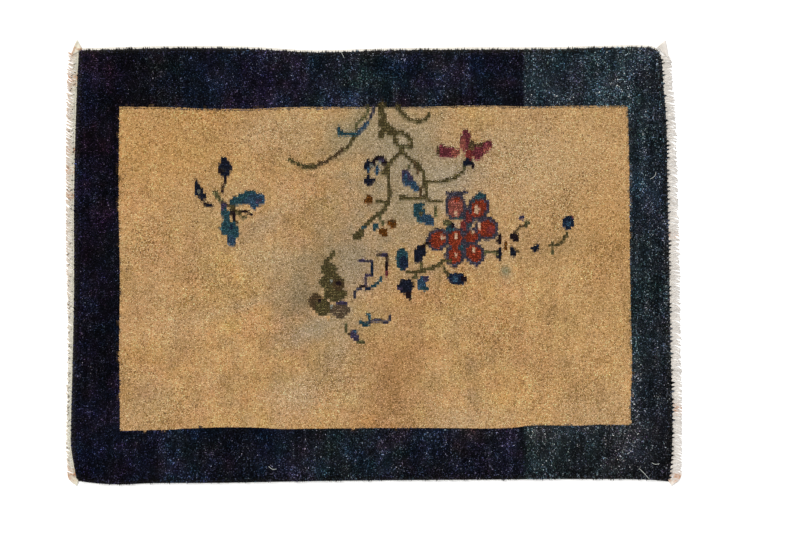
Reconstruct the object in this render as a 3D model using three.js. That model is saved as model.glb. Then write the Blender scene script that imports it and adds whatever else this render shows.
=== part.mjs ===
// A small hand-knotted wool rug, lying flat on the floor, with its cotton warp fringes.
// Millimetres. X runs along the warps, to the right. Y runs across them, towards the top edge. Z is up.
// The origin is on the floor, at the middle of the rug's length over its fringes and its width over its tufts.

import * as THREE from "three";

// Driving sizes of the whole rug
const LENGTH_OVER_FRINGES = 882;
const WIDTH_OVER_TUFTS = 640;
const PARTING = 0.3;

// The cloth is a cotton ground, with pile that stands on it and is set in from its edges
const GROUND_THICKNESS = 2.2;
const PILE_TOP = 10;
const PILE_SHOULDER = 7.4;
const PILE_BREAK = 9.2;
const SHOULDER_RUN = 0.5;
const BREAK_RUN = 2.6;
const CROWN_RUN = 7.5;
const SELVEDGE = { top: 2.4, bottom: 1.0, side: 0.8 };
const COLUMNS = 36;
const ROWS = 26;

// The outer edge of the pile, which wanders as hand-knotted edges do. A row for each turn of the edge.
const TOP_EDGE = [
  { x: -421.5, y: 304.6 },
  { x: -377, y: 305.9 },
  { x: -300, y: 307.8 },
  { x: -180, y: 307.0 },
  { x: -88, y: 301.9 },
  { x: 9, y: 304.3 },
  { x: 130, y: 306.0 },
  { x: 252, y: 306.4 },
  { x: 335, y: 308.6 },
  { x: 388, y: 308.8 },
  { x: 400, y: 307.2 },
  { x: 407, y: 302.4 },
];
const BOTTOM_EDGE = [
  { x: -424.3, y: -311.3 },
  { x: -398, y: -314.8 },
  { x: -362, y: -316.6 },
  { x: -318, y: -314.7 },
  { x: -230, y: -314.3 },
  { x: -62, y: -311.4 },
  { x: 180, y: -309.4 },
  { x: 300, y: -308.8 },
  { x: 395, y: -309.8 },
  { x: 422.6, y: -312.2 },
];
const LEFT_EDGE = [
  { x: -424.3, y: -311.3 },
  { x: -429.6, y: -285 },
  { x: -432.9, y: -262 },
  { x: -432.9, y: -235 },
  { x: -430.8, y: -150 },
  { x: -428.6, y: -40 },
  { x: -428.6, y: 90 },
  { x: -426.5, y: 187 },
  { x: -423.8, y: 262 },
  { x: -421.5, y: 304.6 },
];
const RIGHT_EDGE = [
  { x: 422.6, y: -312.2 },
  { x: 426.2, y: -276 },
  { x: 427.5, y: -222 },
  { x: 424.6, y: -122 },
  { x: 422.6, y: 0 },
  { x: 420.2, y: 110 },
  { x: 418.2, y: 204 },
  { x: 414.0, y: 256 },
  { x: 411.4, y: 290 },
  { x: 407, y: 302.4 },
];

// Hollows trodden into the pile: centre, half widths and depth
const WORN_PLACES = [
  { x: 25, y: 150, halfX: 62, halfY: 92, depth: 3.2 },
  { x: -78, y: -28, halfX: 60, halfY: 58, depth: 2.2 },
  { x: -240, y: 120, halfX: 120, halfY: 60, depth: 0.9 },
  { x: -210, y: -150, halfX: 90, halfY: 60, depth: 0.8 },
];
// The pile's own unevenness: wavelength along X and Y, phase and height
const PILE_WAVES = [
  { alongX: 310, alongY: 240, phase: 0.6, height: 0.35 },
  { alongX: 170, alongY: -130, phase: 2.1, height: 0.25 },
  { alongX: -94, alongY: 160, phase: 4.0, height: 0.2 },
];

// The fringes: a narrow woven web, and the warp ends that leave it
const WEB_WIDTH = 2.4;
const WEB_THICKNESS = 2.2;
const STRANDS = 148;
const STRAND_WIDTH = 2.7;
const STRAND_TIP_WIDTH = 1.8;
const STRAND_HEIGHT = 1.9;
const STRAND_TIP_HEIGHT = 1.2;
const STRAND_STEPS = 2;
// No two warp ends are quite alike: each is a little longer or shorter than the next, and leans a little more
const STRAND_WOBBLE = { turn: 2.4, reach: 0.7, lean: 0.45 };
// How far each fringe reaches past the pile at a place along the edge, and how far its strands lean upwards
const LEFT_REACH = [
  { y: -308, reach: 13.4, lean: 2.6 },
  { y: -284, reach: 9.5, lean: 3.6 },
  { y: -240, reach: 6.4, lean: 2.6 },
  { y: -140, reach: 6.6, lean: 2.8 },
  { y: -60, reach: 8.6, lean: 3.6 },
  { y: 40, reach: 12.4, lean: 4.6 },
  { y: 120, reach: 13.4, lean: 5.0 },
  { y: 230, reach: 12.6, lean: 5.2 },
  { y: 302, reach: 14.2, lean: 3.6 },
];
const RIGHT_REACH = [
  { y: -308, reach: 14.6, lean: -3.4 },
  { y: -260, reach: 14.2, lean: -4.6 },
  { y: -180, reach: 14.0, lean: -3.8 },
  { y: -80, reach: 14.4, lean: -4.4 },
  { y: 30, reach: 14.8, lean: -3.6 },
  { y: 120, reach: 14.2, lean: -4.2 },
  { y: 200, reach: 13.8, lean: -3.2 },
  { y: 298, reach: 14.6, lean: -2.2 },
];
// A twisted tuft closes each end of a web: it starts at fromY as wide as the fringe, and narrows to its tip.
// The nearest warp end keeps clear of it.
const TUFTS = {
  left: {
    top: { fromY: 296, width: 12.6, tipX: -424.8, clear: 5.0 },
    bottom: { fromY: -301, width: 12.4, tipX: -425.4, clear: 1.2 },
  },
  right: {
    top: { fromY: 294, width: 11.6, tipX: 417.4, clear: 1.2 },
    bottom: { fromY: -302, width: 13.6, tipX: 426.2, clear: 4.6 },
  },
};
const TUFT_RISE = 1.5;
const TUFT_HEIGHT = 3.4;
const TUFT_TIP_WIDTH = 1.8;
const TUFT_TIP_HEIGHT = 1.4;
const TUFT_STEPS = 5;

// A smooth curve through a table's points, as a function of 0 to 1 along it
function edgeCurve(table) {
  const curve = new THREE.CatmullRomCurve3(
    table.map((row) => new THREE.Vector3(row.x, row.y, 0)), false, "centripetal");
  curve.arcLengthDivisions = 800;
  return (share) => curve.getPointAt(share);
}

// The value of a table's column at a height y, eased between the rows
function columnAt(table, column, y) {
  if (y <= table[0].y) return table[0][column];
  for (let i = 1; i < table.length; i++) {
    if (y <= table[i].y) {
      const share = THREE.MathUtils.smoothstep(y, table[i - 1].y, table[i].y);
      return THREE.MathUtils.lerp(table[i - 1][column], table[i][column], share);
    }
  }
  return table[table.length - 1][column];
}

const topEdge = edgeCurve(TOP_EDGE);
const bottomEdge = edgeCurve(BOTTOM_EDGE);
const leftEdge = edgeCurve(LEFT_EDGE);
const rightEdge = edgeCurve(RIGHT_EDGE);

// A point of the cloth, blended from its four edges: s runs left to right, t runs bottom to top
function clothPoint(s, t) {
  const corners = new THREE.Vector3()
    .addScaledVector(bottomEdge(0), (1 - s) * (1 - t))
    .addScaledVector(bottomEdge(1), s * (1 - t))
    .addScaledVector(topEdge(0), (1 - s) * t)
    .addScaledVector(topEdge(1), s * t);
  return new THREE.Vector3()
    .addScaledVector(bottomEdge(s), 1 - t)
    .addScaledVector(topEdge(s), t)
    .addScaledVector(leftEdge(t), 1 - s)
    .addScaledVector(rightEdge(t), s)
    .sub(corners);
}

// The height of the pile away from the edges, with its waves and worn places
function pileHeight(x, y) {
  let height = PILE_TOP;
  for (const wave of PILE_WAVES) {
    const turns = x / wave.alongX + y / wave.alongY;
    height += wave.height * Math.sin(2 * Math.PI * turns + wave.phase);
  }
  for (const worn of WORN_PLACES) {
    const across = (x - worn.x) / worn.halfX;
    const along = (y - worn.y) / worn.halfY;
    height -= worn.depth * Math.exp(-(across * across + along * along) * 1.2);
  }
  return height;
}

// The places of the grid's lines over one direction: close together over the pile's shoulder, then even
function gridLines(count, span) {
  const runs = [0, SHOULDER_RUN, BREAK_RUN, CROWN_RUN];
  const lines = runs.map((run) => run / span);
  const first = CROWN_RUN / span;
  for (let i = 1; i < count; i++) lines.push(first + ((1 - 2 * first) * i) / count);
  return lines.concat(runs.map((run) => 1 - run / span).reverse());
}

// The height of the pile at a distance from its edge: a steep wall, a rounded shoulder, then the full height
function shoulder(distance, full) {
  const steps = [
    { at: 0, height: GROUND_THICKNESS },
    { at: SHOULDER_RUN, height: PILE_SHOULDER },
    { at: BREAK_RUN, height: PILE_BREAK },
    { at: CROWN_RUN, height: full },
  ];
  for (let i = 1; i < steps.length; i++) {
    if (distance <= steps[i].at + 1e-6) {
      const share = (distance - steps[i - 1].at) / (steps[i].at - steps[i - 1].at);
      return Math.min(full, THREE.MathUtils.lerp(steps[i - 1].height, steps[i].height, share));
    }
  }
  return full;
}

// The grid of points over the pile, and the cloth's outer line round it on the ground
function clothLayout() {
  const spanX = topEdge(1).x - topEdge(0).x;
  const spanY = leftEdge(1).y - leftEdge(0).y;
  const grid = gridLines(ROWS, spanY).map((t) => gridLines(COLUMNS, spanX).map((s) => {
    const point = clothPoint(s, t);
    const distance = Math.min(s * spanX, (1 - s) * spanX, t * spanY, (1 - t) * spanY);
    point.z = shoulder(distance, pileHeight(point.x, point.y));
    return point;
  }));
  const lastRow = grid.length - 1;
  const lastColumn = grid[0].length - 1;
  const rim = [
    ...grid[0].slice(0, lastColumn),
    ...grid.slice(0, lastRow).map((row) => row[lastColumn]),
    ...grid[lastRow].slice(1).reverse(),
    ...grid.slice(1).map((row) => row[0]).reverse(),
  ];
  const outline = rim.map((point, i) => {
    const before = rim[(i + rim.length - 1) % rim.length];
    const after = rim[(i + 1) % rim.length];
    const outward = new THREE.Vector2(after.y - before.y, before.x - after.x).normalize();
    const upwards = Math.max(outward.y, 0);
    const downwards = Math.max(-outward.y, 0);
    const sideways = Math.abs(outward.x);
    const width = SELVEDGE.top * upwards + SELVEDGE.bottom * downwards + SELVEDGE.side * sideways;
    return new THREE.Vector2(point.x, point.y).addScaledVector(outward, width);
  });
  const right = outline.slice(lastColumn, lastColumn + lastRow + 1);
  const left = [outline[0], ...outline.slice(2 * lastColumn + lastRow).reverse()];
  return { grid, rim, outline, left, right };
}

// The knotted cloth: a grid over the pile, a ledge of ground round it, a low wall and a flat underside
function clothGeometry({ grid, rim, outline }) {
  const positions = [];
  const indices = [];
  const places = new Map();
  const add = (x, y, z) => positions.push(x, y, z) / 3 - 1;
  const quad = (a, b, c, d) => indices.push(a, b, c, a, c, d);
  for (const point of grid.flat()) places.set(point, add(point.x, point.y, point.z));
  for (let j = 0; j < grid.length - 1; j++) {
    for (let i = 0; i < grid[0].length - 1; i++) {
      const around = [grid[j][i], grid[j][i + 1], grid[j + 1][i + 1], grid[j + 1][i]];
      quad(...around.map((point) => places.get(point)));
    }
  }
  const upper = outline.map((point) => add(point.x, point.y, GROUND_THICKNESS));
  const lower = outline.map((point) => add(point.x, point.y, 0));
  for (let i = 0; i < rim.length; i++) {
    const next = (i + 1) % rim.length;
    quad(upper[i], upper[next], places.get(rim[next]), places.get(rim[i]));
    quad(lower[i], lower[next], upper[next], upper[i]);
  }
  for (const [a, b, c] of THREE.ShapeUtils.triangulateShape(outline, [])) {
    indices.push(lower[a], lower[c], lower[b]);
  }
  return indexed(positions, indices);
}

function indexed(positions, indices) {
  const geometry = new THREE.BufferGeometry();
  geometry.setAttribute("position", new THREE.Float32BufferAttribute(positions, 3));
  geometry.setIndex(indices);
  return geometry;
}

// Where a side of the cloth stands at a height y, between the points of its outer line
function sideX(side, y) {
  const after = Math.max(1, side.findIndex((point) => point.y >= y));
  const low = side[after - 1];
  const high = side[after];
  return THREE.MathUtils.mapLinear(y, low.y, high.y, low.x, high.x);
}

// The sections of one corner tuft, from the web outwards to its tip
function tuftSections(tuft, end, side, outward) {
  const startX = sideX(side, tuft.fromY) + outward * PARTING;
  const tipY = (end * WIDTH_OVER_TUFTS) / 2;
  const firstY = tuft.fromY + end * TUFT_RISE;
  const sections = [];
  for (let i = 0; i <= TUFT_STEPS; i++) {
    const share = i / TUFT_STEPS;
    const width = THREE.MathUtils.lerp(tuft.width, TUFT_TIP_WIDTH, share * share);
    const y = THREE.MathUtils.lerp(firstY, tipY, share);
    const middle = THREE.MathUtils.lerp(startX + (outward * tuft.width) / 2, tuft.tipX, share * share);
    sections.push({
      y,
      inner: middle - (outward * width) / 2,
      outer: middle + (outward * width) / 2,
      height: THREE.MathUtils.lerp(TUFT_HEIGHT, TUFT_TIP_HEIGHT, share),
    });
  }
  return sections;
}

// One fringe: sections from the bottom tuft's tip, up the web beside the cloth, to the top tuft's tip.
// Between two sections of the web stands the root of one warp end, which grows out of the web's outer face.
function fringeGeometry(side, outward, reachTable, tufts) {
  const lowest = tufts.bottom.fromY + tufts.bottom.clear;
  const highest = tufts.top.fromY - tufts.top.clear;
  const webSection = (y) => {
    const inner = sideX(side, y) + outward * PARTING;
    return { y, inner, outer: inner + outward * WEB_WIDTH, height: WEB_THICKNESS };
  };
  const sections = tuftSections(tufts.bottom, -1, side, outward).reverse();
  sections.push(webSection(tufts.bottom.fromY));
  const firstStrand = sections.length;
  for (let i = 0; i <= STRANDS; i++) {
    sections.push(webSection(THREE.MathUtils.lerp(lowest, highest, i / STRANDS)));
  }
  sections.push(webSection(tufts.top.fromY));
  sections.push(...tuftSections(tufts.top, 1, side, outward));

  const positions = [];
  const indices = [];
  const add = (x, y, z) => positions.push(x, y, z) / 3 - 1;
  const face = (a, b, c) => indices.push(...(outward > 0 ? [a, b, c] : [a, c, b]));
  const corners = sections.map(({ y, inner, outer, height }) => ({
    innerLow: add(inner, y, 0),
    outerLow: add(outer, y, 0),
    outerHigh: add(outer, y, height),
    innerHigh: add(inner, y, height),
  }));

  for (let i = 0; i < sections.length - 1; i++) {
    const a = corners[i];
    const b = corners[i + 1];
    face(a.innerHigh, a.outerHigh, b.outerHigh);
    face(a.innerHigh, b.outerHigh, b.innerHigh);
    face(a.innerLow, a.innerHigh, b.innerHigh);
    face(a.innerLow, b.innerHigh, b.innerLow);
    face(a.innerLow, b.innerLow, b.outerLow);
    const holdsStrand = i >= firstStrand && i < firstStrand + STRANDS;
    if (!holdsStrand) {
      face(a.outerLow, b.outerLow, b.outerHigh);
      face(a.outerLow, b.outerHigh, a.outerHigh);
      face(a.innerLow, b.outerLow, a.outerLow);
      continue;
    }
    const wobble = Math.sin((i - firstStrand) * STRAND_WOBBLE.turn);
    const rings = strandRings(sections[i], sections[i + 1], outward, side, reachTable, wobble, add);
    const [left, right, ridge] = rings[0];
    face(a.outerLow, left, ridge);
    face(a.outerLow, ridge, a.outerHigh);
    face(a.outerHigh, ridge, b.outerHigh);
    face(ridge, b.outerLow, b.outerHigh);
    face(ridge, right, b.outerLow);
    face(a.innerLow, left, a.outerLow);
    face(a.innerLow, right, left);
    face(a.innerLow, b.outerLow, right);
    for (let k = 0; k < rings.length - 1; k++) {
      for (let corner = 0; corner < 3; corner++) {
        const next = (corner + 1) % 3;
        face(rings[k][corner], rings[k][next], rings[k + 1][next]);
        face(rings[k][corner], rings[k + 1][next], rings[k + 1][corner]);
      }
    }
    face(...rings[rings.length - 1]);
  }
  const first = corners[0];
  const last = corners[corners.length - 1];
  face(first.innerLow, first.outerLow, first.outerHigh);
  face(first.innerLow, first.outerHigh, first.innerHigh);
  face(last.innerLow, last.outerHigh, last.outerLow);
  face(last.innerLow, last.innerHigh, last.outerHigh);
  return indexed(positions, indices);
}

// The three-cornered rings of one warp end, flat on the floor, bending over towards its lean.
// The first ring lies in the web's outer face, so it slants with that face, and the last one stands square.
function strandRings(below, above, outward, side, reachTable, wobble, add) {
  const rootX = (below.outer + above.outer) / 2;
  const rootY = (below.y + above.y) / 2;
  const slant = (above.outer - below.outer) / (above.y - below.y);
  const fromEdge = columnAt(reachTable, "reach", rootY) + STRAND_WOBBLE.reach * wobble;
  const tipX = sideX(side, rootY) + outward * fromEdge;
  const farthest = (outward * LENGTH_OVER_FRINGES) / 2;
  const reach = Math.min(Math.abs(tipX - rootX), Math.abs(farthest - rootX));
  const lean = columnAt(reachTable, "lean", rootY) + STRAND_WOBBLE.lean * wobble;
  const rings = [];
  for (let i = 0; i <= STRAND_STEPS; i++) {
    const share = i / STRAND_STEPS;
    const half = THREE.MathUtils.lerp(STRAND_WIDTH, STRAND_TIP_WIDTH, share) / 2;
    const height = THREE.MathUtils.lerp(STRAND_HEIGHT, STRAND_TIP_HEIGHT, share);
    const turn = slant * (1 - share) * half;
    const x = rootX + outward * reach * share;
    const y = rootY + lean * share * share;
    rings.push([add(x - turn, y - half, 0), add(x + turn, y + half, 0), add(x, y, height)]);
  }
  return rings;
}

const woolPile = new THREE.MeshStandardMaterial({ name: "wool_pile", color: 0xb78f5f, roughness: 0.95 });
const leftCotton = new THREE.MeshStandardMaterial({ name: "cotton_left", color: 0xe2dccf, roughness: 0.9 });
const rightCotton = new THREE.MeshStandardMaterial({ name: "cotton_right", color: 0xe2dccf, roughness: 0.9 });

function piece(name, geometry, material) {
  geometry.computeVertexNormals();
  const mesh = new THREE.Mesh(geometry, material);
  mesh.name = name;
  return mesh;
}

const cloth = clothLayout();
const rug = new THREE.Group();
rug.add(piece("rug", clothGeometry(cloth), woolPile));
rug.add(piece("fringe_left", fringeGeometry(cloth.left, -1, LEFT_REACH, TUFTS.left), leftCotton));
rug.add(piece("fringe_right", fringeGeometry(cloth.right, 1, RIGHT_REACH, TUFTS.right), rightCotton));

export default rug;
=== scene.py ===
# %% [markdown]
# # A hand-knotted wool rug with cotton fringes
# The rug lies flat on a pale floor. A real one is built from cotton warps that run along its length, wefts
# that cross them, and one short loop of dyed wool for each knot, whose two cut ends stand up as pile. This
# scene is made the same way: a closed cloth of packed knots, the free tips of about 63,000 cut ends of wool
# with three wisps to each, and the warp ends as fringes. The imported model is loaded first, because its box
# and its parts are the sizes that everything here keeps.

import bpy
import numpy as np
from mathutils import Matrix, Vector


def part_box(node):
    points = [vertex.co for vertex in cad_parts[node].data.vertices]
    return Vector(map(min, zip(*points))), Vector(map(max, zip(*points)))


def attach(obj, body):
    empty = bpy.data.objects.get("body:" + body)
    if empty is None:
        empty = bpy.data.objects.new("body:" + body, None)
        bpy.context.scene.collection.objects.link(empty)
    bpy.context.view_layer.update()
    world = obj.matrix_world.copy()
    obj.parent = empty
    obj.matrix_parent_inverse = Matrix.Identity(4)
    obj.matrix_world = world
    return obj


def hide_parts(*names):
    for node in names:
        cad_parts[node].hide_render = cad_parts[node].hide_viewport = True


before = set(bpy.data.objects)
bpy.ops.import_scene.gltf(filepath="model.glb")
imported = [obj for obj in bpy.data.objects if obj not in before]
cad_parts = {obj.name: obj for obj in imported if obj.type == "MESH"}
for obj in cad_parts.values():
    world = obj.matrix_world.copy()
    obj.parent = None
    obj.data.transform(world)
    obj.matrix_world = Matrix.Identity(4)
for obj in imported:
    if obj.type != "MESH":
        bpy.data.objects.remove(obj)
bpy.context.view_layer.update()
RUG_LOW, RUG_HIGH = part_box("rug")
print("the rug's solid is", [round(1000 * side, 1) for side in RUG_HIGH - RUG_LOW], "mm")

# %% [markdown]
# ## Camera
# The photograph looks straight down, so the camera hangs over the rug and looks at the floor. One pixel of
# the photograph is 1.43 mm of rug. The lens follows from that width and the camera's height, measured from
# the top of the pile, and the rug's middle lies a little left of the photograph's middle.

# %% Camera above the rug
PHOTO_WIDTH_PIXELS = 800
MM_PER_PIXEL = 1.43
VIEW_MIDDLE_MM = (37.8, -5.9)
CAMERA_HEIGHT_MM = 2600
SENSOR_WIDTH_MM = 36
PILE_TOP_MM = 10.0

camera_data = bpy.data.cameras.new("camera_above")
camera_data.sensor_width = SENSOR_WIDTH_MM
camera_data.lens = SENSOR_WIDTH_MM * (CAMERA_HEIGHT_MM - PILE_TOP_MM) / (PHOTO_WIDTH_PIXELS * MM_PER_PIXEL)
camera = bpy.data.objects.new("camera_above", camera_data)
camera.location = (VIEW_MIDDLE_MM[0] / 1000, VIEW_MIDDLE_MM[1] / 1000, CAMERA_HEIGHT_MM / 1000)
bpy.context.scene.collection.objects.link(camera)
bpy.context.scene.camera = camera
print("the lens is", round(camera_data.lens, 1), "mm")

# %% [markdown]
# ## Small helpers
# Colours are written as the hex values that a paint chart or a screen gives, and Blender's shaders work with
# linear light, so one function turns them. One more function adds a shader node with its settings and links.

# %% Colours and nodes
def linear(hex_colour):
    """An sRGB hex colour as linear light: each channel's 0 to 1 is raised by the sRGB curve."""
    channels = np.array([int(hex_colour[i:i + 2], 16) for i in (1, 3, 5)]) / 255
    return np.where(channels <= 0.04045, channels / 12.92, ((channels + 0.055) / 1.055) ** 2.4)


def add(tree, kind, links=None, **settings):
    """Adds a node. Settings are its own properties. Links gives an input a number, a colour or a socket."""
    made = tree.nodes.new(kind)
    for name, value in settings.items():
        setattr(made, name, value)
    for name, value in (links or {}).items():
        if isinstance(value, bpy.types.NodeSocket):
            tree.links.new(value, made.inputs[name])
        else:
            made.inputs[name].default_value = value
    return made


def new_material(name):
    """An empty material with an output, and the tree that its nodes go into."""
    material = bpy.data.materials.new(name)
    material.use_nodes = True
    material.node_tree.nodes.clear()
    return material, material.node_tree


print("half grey on a screen is, in linear light,", np.round(linear("#808080"), 3))

# %% [markdown]
# ## Floor and light
# A white studio floor and light from all round show a rug's colours as they are. One broad lamp far off at
# the top left gives each tuft a light side and a dark one, which is what makes pile look like pile.

# %% Floor, sky and lamp
FLOOR_HALF_M = 12.0
SKY_STRENGTH = 0.8
LAMP_STRENGTH = 2.5
LAMP_BREADTH_DEGREES = 35
LAMP_PLACE_M = (-3.0, 3.2, 5.6)

bpy.context.scene.view_settings.view_transform = "Standard"

floor_mesh = bpy.data.meshes.new("floor")
floor_corners = [(-FLOOR_HALF_M, -FLOOR_HALF_M, 0), (FLOOR_HALF_M, -FLOOR_HALF_M, 0),
                 (FLOOR_HALF_M, FLOOR_HALF_M, 0), (-FLOOR_HALF_M, FLOOR_HALF_M, 0)]
floor_mesh.from_pydata(floor_corners, [], [(0, 1, 2, 3)])
floor = bpy.data.objects.new("floor", floor_mesh)
bpy.context.scene.collection.objects.link(floor)

floor_paint, tree = new_material("matt white floor paint")
floor_finish = add(tree, "ShaderNodeBsdfPrincipled", {
    "Base Color": (*linear("#FBFBFA"), 1), "Roughness": 0.9, "Specular IOR Level": 0.1})
add(tree, "ShaderNodeOutputMaterial", {"Surface": floor_finish.outputs["BSDF"]})
floor_mesh.materials.append(floor_paint)

sky = bpy.data.worlds.new("studio sky")
sky.use_nodes = True
sky.node_tree.nodes["Background"].inputs["Color"].default_value = (1, 1, 1, 1)
sky.node_tree.nodes["Background"].inputs["Strength"].default_value = SKY_STRENGTH
bpy.context.scene.world = sky

lamp_data = bpy.data.lights.new("broad lamp", "SUN")
lamp_data.angle = np.radians(LAMP_BREADTH_DEGREES)
lamp_data.energy = LAMP_STRENGTH
lamp = bpy.data.objects.new("broad lamp", lamp_data)
lamp.location = LAMP_PLACE_M
lamp.rotation_mode = "QUATERNION"
lamp.rotation_quaternion = (-lamp.location).to_track_quat("-Z", "Y")
bpy.context.scene.collection.objects.link(lamp)
print("the floor is", 2 * FLOOR_HALF_M, "m wide")

# %% [markdown]
# ## Lines and unevenness
# The edges of the rug and the stems of its flowers are drawn as smooth lines through a few points. Wool that
# is spun and dyed by hand is never even, and a lattice of random numbers, eased from one to the next, gives
# that.

# %% Smooth lines and cloudy noise
SPAN_STEPS = 48
LATTICE_SIZE = 128
LATTICE_MIDDLE = (64.3, 64.7)


def smooth_line(points, samples):
    """Points at even steps of length along a smooth line through the given ones. Each span is a cubic whose
    end slopes come from its neighbours, with the square root of each chord as its share of time."""
    given = np.asarray(points, float)
    around = np.vstack([2 * given[0] - given[1], given, 2 * given[-1] - given[-2]])
    times = np.linalg.norm(np.diff(around, axis=0), axis=1)[:, None] ** 0.5
    before, during, after = times[:-2], times[1:-1], times[2:]
    a, b, c, d = around[:-3], around[1:-2], around[2:-1], around[3:]
    leave = (b - a) / before - (c - a) / (before + during) + (c - b) / during
    arrive = (c - b) / during - (d - b) / (during + after) + (d - c) / after
    share = np.linspace(0, 1, SPAN_STEPS, endpoint=False)[None, :, None]
    start, end = b[:, None], c[:, None]
    slope_in, slope_out = (leave * during)[:, None], (arrive * during)[:, None]
    fine = (start * (2 * share**3 - 3 * share**2 + 1) + slope_in * (share**3 - 2 * share**2 + share)
            + end * (3 * share**2 - 2 * share**3) + slope_out * (share**3 - share**2))
    fine = np.vstack([fine.reshape(-1, given.shape[1]), given[-1:]])
    travelled = np.concatenate([[0], np.cumsum(np.linalg.norm(np.diff(fine, axis=0), axis=1))])
    even = np.linspace(0, travelled[-1], samples)
    return np.stack([np.interp(even, travelled, fine[:, k]) for k in range(given.shape[1])], axis=1)


def cloudy(x, y, size, seed):
    """Smooth unevenness from -1 to 1 over places x, y: random numbers on a square lattice of the given size,
    eased from one to the next with 3t^2 - 2t^3. Each seed has numbers of its own."""
    lattice = np.random.default_rng(seed).uniform(-1, 1, (LATTICE_SIZE, LATTICE_SIZE))
    along, up = x / size + LATTICE_MIDDLE[0], y / size + LATTICE_MIDDLE[1]
    i, j = np.floor(along).astype(int), np.floor(up).astype(int)
    ease_x, ease_y = along - i, up - j
    ease_x = ease_x * ease_x * (3 - 2 * ease_x)
    ease_y = ease_y * ease_y * (3 - 2 * ease_y)
    i, j = i % (LATTICE_SIZE - 1), j % (LATTICE_SIZE - 1)
    low = lattice[i, j] * (1 - ease_x) + lattice[i + 1, j] * ease_x
    high = lattice[i, j + 1] * (1 - ease_x) + lattice[i + 1, j + 1] * ease_x
    return low * (1 - ease_y) + high * ease_y


print("a smooth line over a corner:", np.round(smooth_line([(0, 0), (1, 1), (2, 0)], 5), 2).tolist())

# %% [markdown]
# ## The edges of the rug and its field
# The loom holds the warps straight, but the wefts pull in unevenly, so no edge is quite straight. The four
# edges of the pile are the same named places as in the part's source, in millimetres. The sides of the field
# are read off in the same way.

# %% Edges of the pile and the field
TOP_EDGE = [(-421.5, 304.6), (-377, 305.9), (-300, 307.8), (-180, 307.0), (-88, 301.9), (9, 304.3),
            (130, 306.0), (252, 306.4), (335, 308.6), (388, 308.8), (400, 307.2), (407, 302.4)]
BOTTOM_EDGE = [(-424.3, -311.3), (-398, -314.8), (-362, -316.6), (-318, -314.7), (-230, -314.3),
               (-62, -311.4), (180, -309.4), (300, -308.8), (395, -309.8), (422.6, -312.2)]
LEFT_EDGE = [(-424.3, -311.3), (-429.6, -285), (-432.9, -262), (-432.9, -235), (-430.8, -150),
             (-428.6, -40), (-428.6, 90), (-426.5, 187), (-423.8, 262), (-421.5, 304.6)]
RIGHT_EDGE = [(422.6, -312.2), (426.2, -276), (427.5, -222), (424.6, -122), (422.6, 0),
              (420.2, 110), (418.2, 204), (414.0, 256), (411.4, 290), (407, 302.4)]
FIELD_TOP = [(-364, 221.0), (-310, 220.4), (-270, 219.4), (-244, 218.1), (-167, 217.9), (-141, 219.4),
             (-110, 220.5), (35, 220.6), (91, 221.3), (142, 222.5), (230, 221.2), (271, 222.0), (363, 222.5)]
FIELD_BOTTOM = [(-364, -239.8), (-321, -238.7), (-290, -238.0), (-270, -236.6), (-218, -234.7),
                (-167, -235.0), (-130, -237.0), (-90, -236.6), (65, -235.5), (168, -236.2), (198, -235.2),
                (219, -232.7), (240, -231.6), (295, -232.1), (322, -230.8), (366, -231.3)]
FIELD_LEFT = [(-362.2, -238), (-363.4, -120), (-362.6, -20), (-364.2, 90), (-363.2, 223)]
FIELD_RIGHT = [(367.8, -231), (367.3, -196), (369.4, -145), (368.2, -96), (366.2, 10), (365.2, 140),
               (363.2, 224)]
EDGE_SAMPLES = 1200

EDGE_TABLES = {"top": TOP_EDGE, "bottom": BOTTOM_EDGE, "field top": FIELD_TOP, "field bottom": FIELD_BOTTOM,
               "left": LEFT_EDGE, "right": RIGHT_EDGE, "field left": FIELD_LEFT, "field right": FIELD_RIGHT}
lines = {name: smooth_line(table, EDGE_SAMPLES) for name, table in EDGE_TABLES.items()}


def height_of(name, x):
    """The y of a line that runs from left to right, at x."""
    return np.interp(x, lines[name][:, 0], lines[name][:, 1])


def side_of(name, y):
    """The x of a line that runs from bottom to top, at y."""
    return np.interp(y, lines[name][:, 1], lines[name][:, 0])


middle_width = float(height_of("top", 0) - height_of("bottom", 0))
print("across the middle the pile is", round(middle_width, 1), "mm wide")

# %% [markdown]
# ## Counting knots
# A weaver counts knots, so the rows and columns of knots are spread evenly from the rug's edge to the field's
# side, over the field, and on to the other edge, and they follow all of the lines above. A knot has two cut
# ends, side by side across the warps, and each opens into about three wisps of wool along them.

# %% The lattice of knots
KNOT_COLUMNS, KNOT_ROWS = 205, 154
FIELD_COLUMNS, FIELD_ROWS = (16, 191), (19, 133)
ENDS_A_KNOT, WISPS_AN_END = 2, 3


def spread(count, stops, values):
    """Goes evenly from one value to the next as a count of knots goes from one stop to the next."""
    total = values[0]
    for i in range(len(stops) - 1):
        share = np.clip((count - stops[i]) / (stops[i + 1] - stops[i]), 0, 1)
        total = total + (values[i + 1] - values[i]) * share
    return total


def cloth_point(column, row):
    """A place on the rug, counted in knots from its lower left corner. The row gives y between the four lines
    that run from left to right, each taken where the column meets it, and the column gives x between the four
    that run from bottom to top."""
    stops = (0, *FIELD_COLUMNS, KNOT_COLUMNS)
    side_names = ("left", "field left", "field right", "right")
    heights = []
    for name in ("bottom", "field bottom", "field top", "top"):
        sides = [side_of(side, lines[name][:, 1].mean()) for side in side_names]
        heights.append(height_of(name, spread(column, stops, sides)))
    y = spread(row, (0, *FIELD_ROWS, KNOT_ROWS), heights)
    x = spread(column, stops, [side_of(side, y) for side in side_names])
    return x, y


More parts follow.
